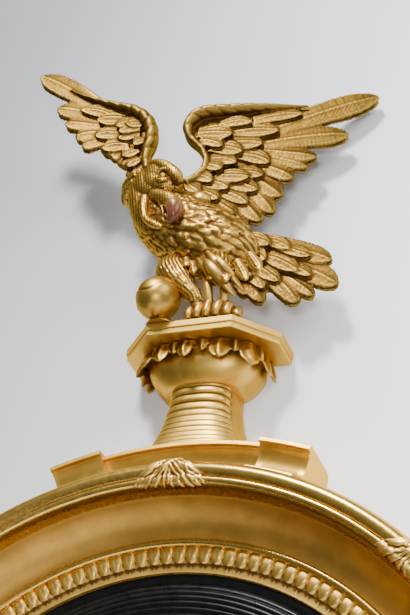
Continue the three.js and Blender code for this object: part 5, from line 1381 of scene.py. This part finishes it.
class GIRANDOLE_OT_arms(bpy.types.Operator):
    """Brackets, branches, pans and nozzles: turned profiles about upright axes, and each branch a round bar
    of radius 3.6 along a curve from the socket to its boss."""
    bl_idname = "girandole.arms"
    bl_label = "Candle arms"

    def execute(self, context):
        brass = material_of("brass")
        for side, sign in SIDES:
            x, y, z = swivel(sign)
            body = f"arm_{side}"
            low, high = sorted((x - sign * 4, on_round(sign * ARM_ANGLE, 325.3, 0)[0]))
            half = math.degrees(28 / 324)
            plate = [(324.3, 13), (327.3, 13), (328.3, 14), (328.3, 52), (327.3, 53), (324.3, 53)]
            parts = [turned_ring(plate, sign * ARM_ANGLE - half, sign * ARM_ANGLE + half, 20),
                     block((low, y - 5, z - 5), (high, y + 5, z + 5)),
                     spun([(3.55, -9), (6.4, -9), (7.15, -8.2), (7.15, -5), (6.5, -4), (6.5, 4), (7.15, 5),
                           (7.15, 8.2), (6.4, 9), (3.55, 9)], (x, y, z), 40, ring=True)]
            obj = add_object(f"bracket_{side}_fine", parts, brass)
            finished(obj, "root", "brass", f"arm_bracket_{side}")

            branch = ((0, 9), (14, 2), (34, -14), (62, -20), (88, -6), (101, 22), (ARM_REACH, 52))
            course = smooth([arm_point(sign, *p) for p in branch], 90)
            boss = arm_point(sign, ARM_REACH, 0)
            parts = [swept(course, 3.6, 20, reference=(sign * 0.707, 0.707, 0)),
                     spun([(0, -20), (3.0, -20), (3.2, -19.6), (3.2, 0.2), (7.0, 0.4), (7.1, 4.8), (5, 5.4),
                           (5.8, 8), (5.2, 11.5), (3, 13.6), (0, 14.2)], arm_point(sign, 0, 0), 40),
                     spun([(0, 50), (5.4, 50), (7, 51.4), (7, 54), (6.2, 55), (6.2, 58), (7, 59), (7, 62),
                           (3.9, 62), (3.9, 52.7), (0, 52.7)], boss, 40)]
            obj = add_object(f"arm_{side}_fine", parts, brass)
            finished(obj, body, "brass", f"candle_arm_{side}")

            end = arm_point(sign, ARM_REACH, 62.3)
            pan = [(3.9, 0), (19.6, 0), (21.6, 0.5), (28.4, 4.2), (29, 5.2), (28.6, 6), (27.6, 5.8),
                   (20.6, 2.0), (18.8, 1.4), (3.9, 1.4)]
            obj = add_object(f"pan_{side}_fine", [spun(pan, end, 64, ring=True)], brass)
            finished(obj, body, "brass", f"drip_pan_{side}")
            nozzle = [(0, -9), (3.3, -9), (3.6, -8.6), (3.6, 1.7), (8, 1.7), (8.4, 2.6), (7, 3.9), (6.8, 5),
                      (8.6, 7.4), (11.4, 9.6), (12.1, 12), (12.1, 20), (12.7, 21), (12.1, 22), (12.1, 31),
                      (13, 32.6), (15.2, 34), (15.6, 35), (15.1, 35.7), (11.2, 35.7), (10.6, 35.1),
                      (10.6, 10.9), (0, 10.7)]
            obj = add_object(f"nozzle_{side}_fine", [spun(nozzle, end, 56)], brass)
            finished(obj, f"nozzle_{side}", "brass", f"candle_nozzle_{side}")
        return {"FINISHED"}


class GIRANDOLE_OT_hangers(bpy.types.Operator):
    """The hangers in the back: a strap with a barrel, and a bar of radius 1.6 bent to a half round for the
    ring. The backboard is a disc |x| up to sqrt(261^2 - x^2) high, with joints 0.9 exp(-((x - x_i) / 1.6)^2)
    between its planks and four screw holes."""
    bl_idname = "girandole.hangers"
    bl_label = "Hangers and back"

    def execute(self, context):
        brass = material_of("brass")
        for side, sign in SIDES:
            hinge = hanger_place(sign)
            x, _, z = hinge
            barrel = spun([(2.0, -6.5), (3.3, -6.5), (3.3, 6.5), (2.0, 6.5)], hinge, 32, ring=True, axis="X")
            strap = [barrel, block((x - 6.5, -10.7, z), (x + 6.5, -9.3, z + 26))]
            obj = add_object(f"strap_{side}_fine", strap, brass)
            subtract(obj, [spun([(2.0, -8), (2.0, 8)], hinge, 32, axis="X")])
            finished(obj, "root", "brass", f"hanger_strap_{side}")
            t = np.radians(np.linspace(0, -180, 33))[1:-1]
            round_part = np.stack([9 * np.cos(t), 0 * t, -3 + 9 * np.sin(t)], 1)
            loop = hinge + np.concatenate([[(9, 0, -0.2)], round_part, [(-9, 0, -0.2)]])
            pivot = hinge + np.array([(-9.4, 0, 0), (0, 0, 0), (9.4, 0, 0)])
            ring = [swept(loop, 1.6, 16), swept(pivot, 1.6, 16, reference=(0, 0, 1))]
            obj = add_object(f"ring_{side}_fine", ring, brass)
            finished(obj, f"ring_{side}", "brass", f"hanger_ring_{side}")
        radius = 261.0
        width = radius * np.linspace(-1, 1, 121)
        reach = np.sqrt(np.maximum(radius ** 2 - width ** 2, 4.0))
        joints = np.array([-160.0, -55, 52, 158])
        seam = np.max(np.exp(-((width[:, None] - joints) / 1.6) ** 2), 1) * 0.9
        back, front = -2.2 - seam, -7.7 + 0 * seam
        corners = ((back, -reach), (front, -reach), (front, reach), (back, reach))
        rows = np.stack([np.stack([width, y, z], 1) for y, z in corners], 1)
        board = add_object("backboard_fine", [tube(rows)], material_of("pine"))
        holes = [on_round(a, 257.35, 0) for a in (45, 135, 225, 315)]
        subtract(board, [spun([(1.8, 0), (1.8, -9)], hole, 20, axis="Y") for hole in holes])
        finished(board, "root", "pine", "backboard")
        return {"FINISHED"}


class GIRANDOLE_OT_fittings(bpy.types.Operator):
    """Materials for the pieces that keep their CAD form: glazing blocks, batten, dowels, screws and pin."""
    bl_idname = "girandole.fittings"
    bl_label = "Fittings"

    def execute(self, context):
        kinds = {
            "pine": [*(f"glazing_block_{i}" for i in range(1, 5)), "crest_batten", "wing_dowel_left",
                     "wing_dowel_right"],
            "iron": [*(f"backboard_screw_{i}" for i in range(1, 5)), "batten_screw_1", "batten_screw_2",
                     "eagle_pin"],
            "brass": ["bracket_screw_left", "bracket_screw_right", "hanger_screw_left", "hanger_screw_right"],
        }
        for kind, names in kinds.items():
            for name in names:
                mesh = bpy.data.objects[name].data
                mesh.materials.clear()
                mesh.materials.append(material_of(kind))
        return {"FINISHED"}


# ---------------------------------------------------------------- studio

def backdrop(name, corners, colour):
    """A pale sheet that shows only from its front, with painted light on it. Its tone goes from 0.4 to 1.28
    of the colour, and its glow from 0 to 1, as x - z / 2 grows: painted shade at the upper left, painted
    light and a glow at the lower right."""
    mesh = bpy.data.meshes.new(name)
    mesh.from_pydata(corners, [], [(0, 1, 2, 3)])
    obj = bpy.data.objects.new(name, mesh)
    bpy.context.scene.collection.objects.link(obj)
    material, tree, surface = new_material(name)
    place = node(tree, "ShaderNodeTexCoord").outputs["Object"]
    across = node(tree, "ShaderNodeVectorMath", {0: place, 1: (1.0, 0.0, -0.5)},
                  operation="DOT_PRODUCT").outputs[1]
    # Painted light: the sheet's colour darkens towards the upper left and lightens towards the lower right.
    tone = blend(tree, span(tree, across, -0.95, -0.05), rgba(colour, 0.40), rgba(colour, 1.28))
    tree.links.new(tone, surface.inputs["Base Color"])
    surface.inputs["Roughness"].default_value = 0.9
    surface.inputs["Specular IOR Level"].default_value = 0.1
    surface.inputs["Emission Color"].default_value = rgba(colour)
    # Painted light: the sheet glows towards the lower right, though it is no lamp.
    tree.links.new(span(tree, across, -0.35, 0.15, 0.0, 1.0), surface.inputs["Emission Strength"])
    facing = node(tree, "ShaderNodeNewGeometry").outputs["Backfacing"]
    clear = node(tree, "ShaderNodeBsdfTransparent")
    mix = node(tree, "ShaderNodeMixShader", {0: facing, 1: surface.outputs[0], 2: clear.outputs[0]})
    output = next(n for n in tree.nodes if n.type == "OUTPUT_MATERIAL")
    tree.links.new(mix.outputs[0], output.inputs["Surface"])
    mesh.materials.append(material)
    return obj


def soft_light(name, place, aim, size, power, colour=(1.0, 1.0, 1.0)):
    """A rectangular light turned to a point."""
    data = bpy.data.lights.new(name, "AREA")
    data.shape = "RECTANGLE"
    data.size, data.size_y = size
    data.energy = power
    data.color = colour
    obj = bpy.data.objects.new(name, data)
    w = unit(np.array(place, float) - np.array(aim, float))
    u = unit(np.cross((0, 0, 1), w))
    frame = np.eye(4)
    frame[:3, :3] = np.stack([u, np.cross(w, u), w], 1)
    frame[:3, 3] = place
    obj.matrix_world = Matrix(frame.tolist())
    bpy.context.scene.collection.objects.link(obj)
    return obj


class GIRANDOLE_OT_studio(bpy.types.Operator):
    """The studio: a pale wall and floor, three soft lights and the camera of the photo."""
    bl_idname = "girandole.studio"
    bl_label = "Studio"

    def execute(self, context):
        colour = context.scene.girandole_colours.wall
        half, wall, floor, top, near = 4, 0.002, -1.5, 4, -1.2
        backdrop("wall", [(-half, wall, floor), (half, wall, floor), (half, wall, top), (-half, wall, top)],
                 colour)
        backdrop("floor", [(-half, near, floor), (half, near, floor), (half, wall, floor),
                           (-half, wall, floor)], colour)
        soft_light("key light", (-0.2, -1.5, 2.0), (0, 0, 0.45), (0.38, 0.38), 74)
        soft_light("right light", (1.35, -1.2, 1.3), (0.1, 0, 0.4), (0.9, 1.1), 20)
        soft_light("fill light", (0.5, -1.8, -0.3), (0, 0, 0.4), (0.4, 0.4), 16)
        world = bpy.data.worlds.new("studio")
        world.use_nodes = True
        tree = world.node_tree
        tree.nodes.clear()
        way = node(tree, "ShaderNodeTexCoord").outputs["Generated"]
        up = node(tree, "ShaderNodeSeparateXYZ", {0: way}).outputs[2]
        tone = blend(tree, span(tree, up, -0.8, 0.2), (0.10, 0.08, 0.05, 1), (0.60, 0.61, 0.63, 1))
        light = node(tree, "ShaderNodeBackground", {"Color": tone, "Strength": 0.42})
        node(tree, "ShaderNodeOutputWorld", {"Surface": light.outputs[0]})
        context.scene.world = world
        place, focal, sensor = (0.5207, -1.1678, -0.3330), 89.74, 36.0
        elevation, azimuth, roll = math.radians(34.78), math.radians(24.86), math.radians(7.97)
        forward = np.array([-math.sin(azimuth) * math.cos(elevation), math.cos(azimuth) * math.cos(elevation),
                            math.sin(elevation)])
        right = unit(np.cross(forward, (0, 0, 1)))
        up = np.cross(right, forward)
        frame = np.eye(4)
        frame[:3, 0] = right * math.cos(roll) + up * math.sin(roll)
        frame[:3, 1] = -right * math.sin(roll) + up * math.cos(roll)
        frame[:3, 2] = -forward
        frame[:3, 3] = place
        data = bpy.data.cameras.new("photo")
        data.lens, data.sensor_width = focal, sensor
        camera = bpy.data.objects.new("photo", data)
        camera.matrix_world = Matrix(frame.tolist())
        context.scene.collection.objects.link(camera)
        context.scene.camera = camera
        return {"FINISHED"}


STEPS = (
    GIRANDOLE_OT_carcase, GIRANDOLE_OT_mouldings, GIRANDOLE_OT_leaf_band, GIRANDOLE_OT_slip,
    GIRANDOLE_OT_glass, GIRANDOLE_OT_ties, GIRANDOLE_OT_crest, GIRANDOLE_OT_console, GIRANDOLE_OT_collar,
    GIRANDOLE_OT_wings,
    GIRANDOLE_OT_tail, GIRANDOLE_OT_trunk, GIRANDOLE_OT_head, GIRANDOLE_OT_legs, GIRANDOLE_OT_arms,
    GIRANDOLE_OT_hangers, GIRANDOLE_OT_fittings, GIRANDOLE_OT_studio,
)


class GIRANDOLE_PT_panel(bpy.types.Panel):
    """The sizes, colours and pieces in the 3D sidebar."""
    bl_idname = "GIRANDOLE_PT_panel"
    bl_label = "Girandole mirror"
    bl_space_type = "VIEW_3D"
    bl_region_type = "UI"
    bl_category = "Girandole"

    def draw(self, context):
        for settings in (context.scene.girandole_sizes, context.scene.girandole_colours):
            box = self.layout.box()
            for name in settings.bl_rna.properties.keys():
                if name not in ("rna_type", "name"):
                    box.prop(settings, name)
        for step in STEPS:
            self.layout.operator(step.bl_idname)


CLASSES = (GirandoleSizes, GirandoleColours, *STEPS, GIRANDOLE_PT_panel)


def register():
    """Registers the classes and hangs the settings on the scene."""
    for each in CLASSES:
        bpy.utils.register_class(each)
    bpy.types.Scene.girandole_sizes = bpy.props.PointerProperty(type=GirandoleSizes)
    bpy.types.Scene.girandole_colours = bpy.props.PointerProperty(type=GirandoleColours)


def unregister():
    """Takes the settings and classes away again."""
    del bpy.types.Scene.girandole_colours
    del bpy.types.Scene.girandole_sizes
    for each in reversed(CLASSES):
        bpy.utils.unregister_class(each)


def main():
    """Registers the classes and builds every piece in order."""
    register()
    for step in STEPS:
        group, name = step.bl_idname.split(".")
        getattr(getattr(bpy.ops, group), name)()


if __name__ == "__main__":
    main()
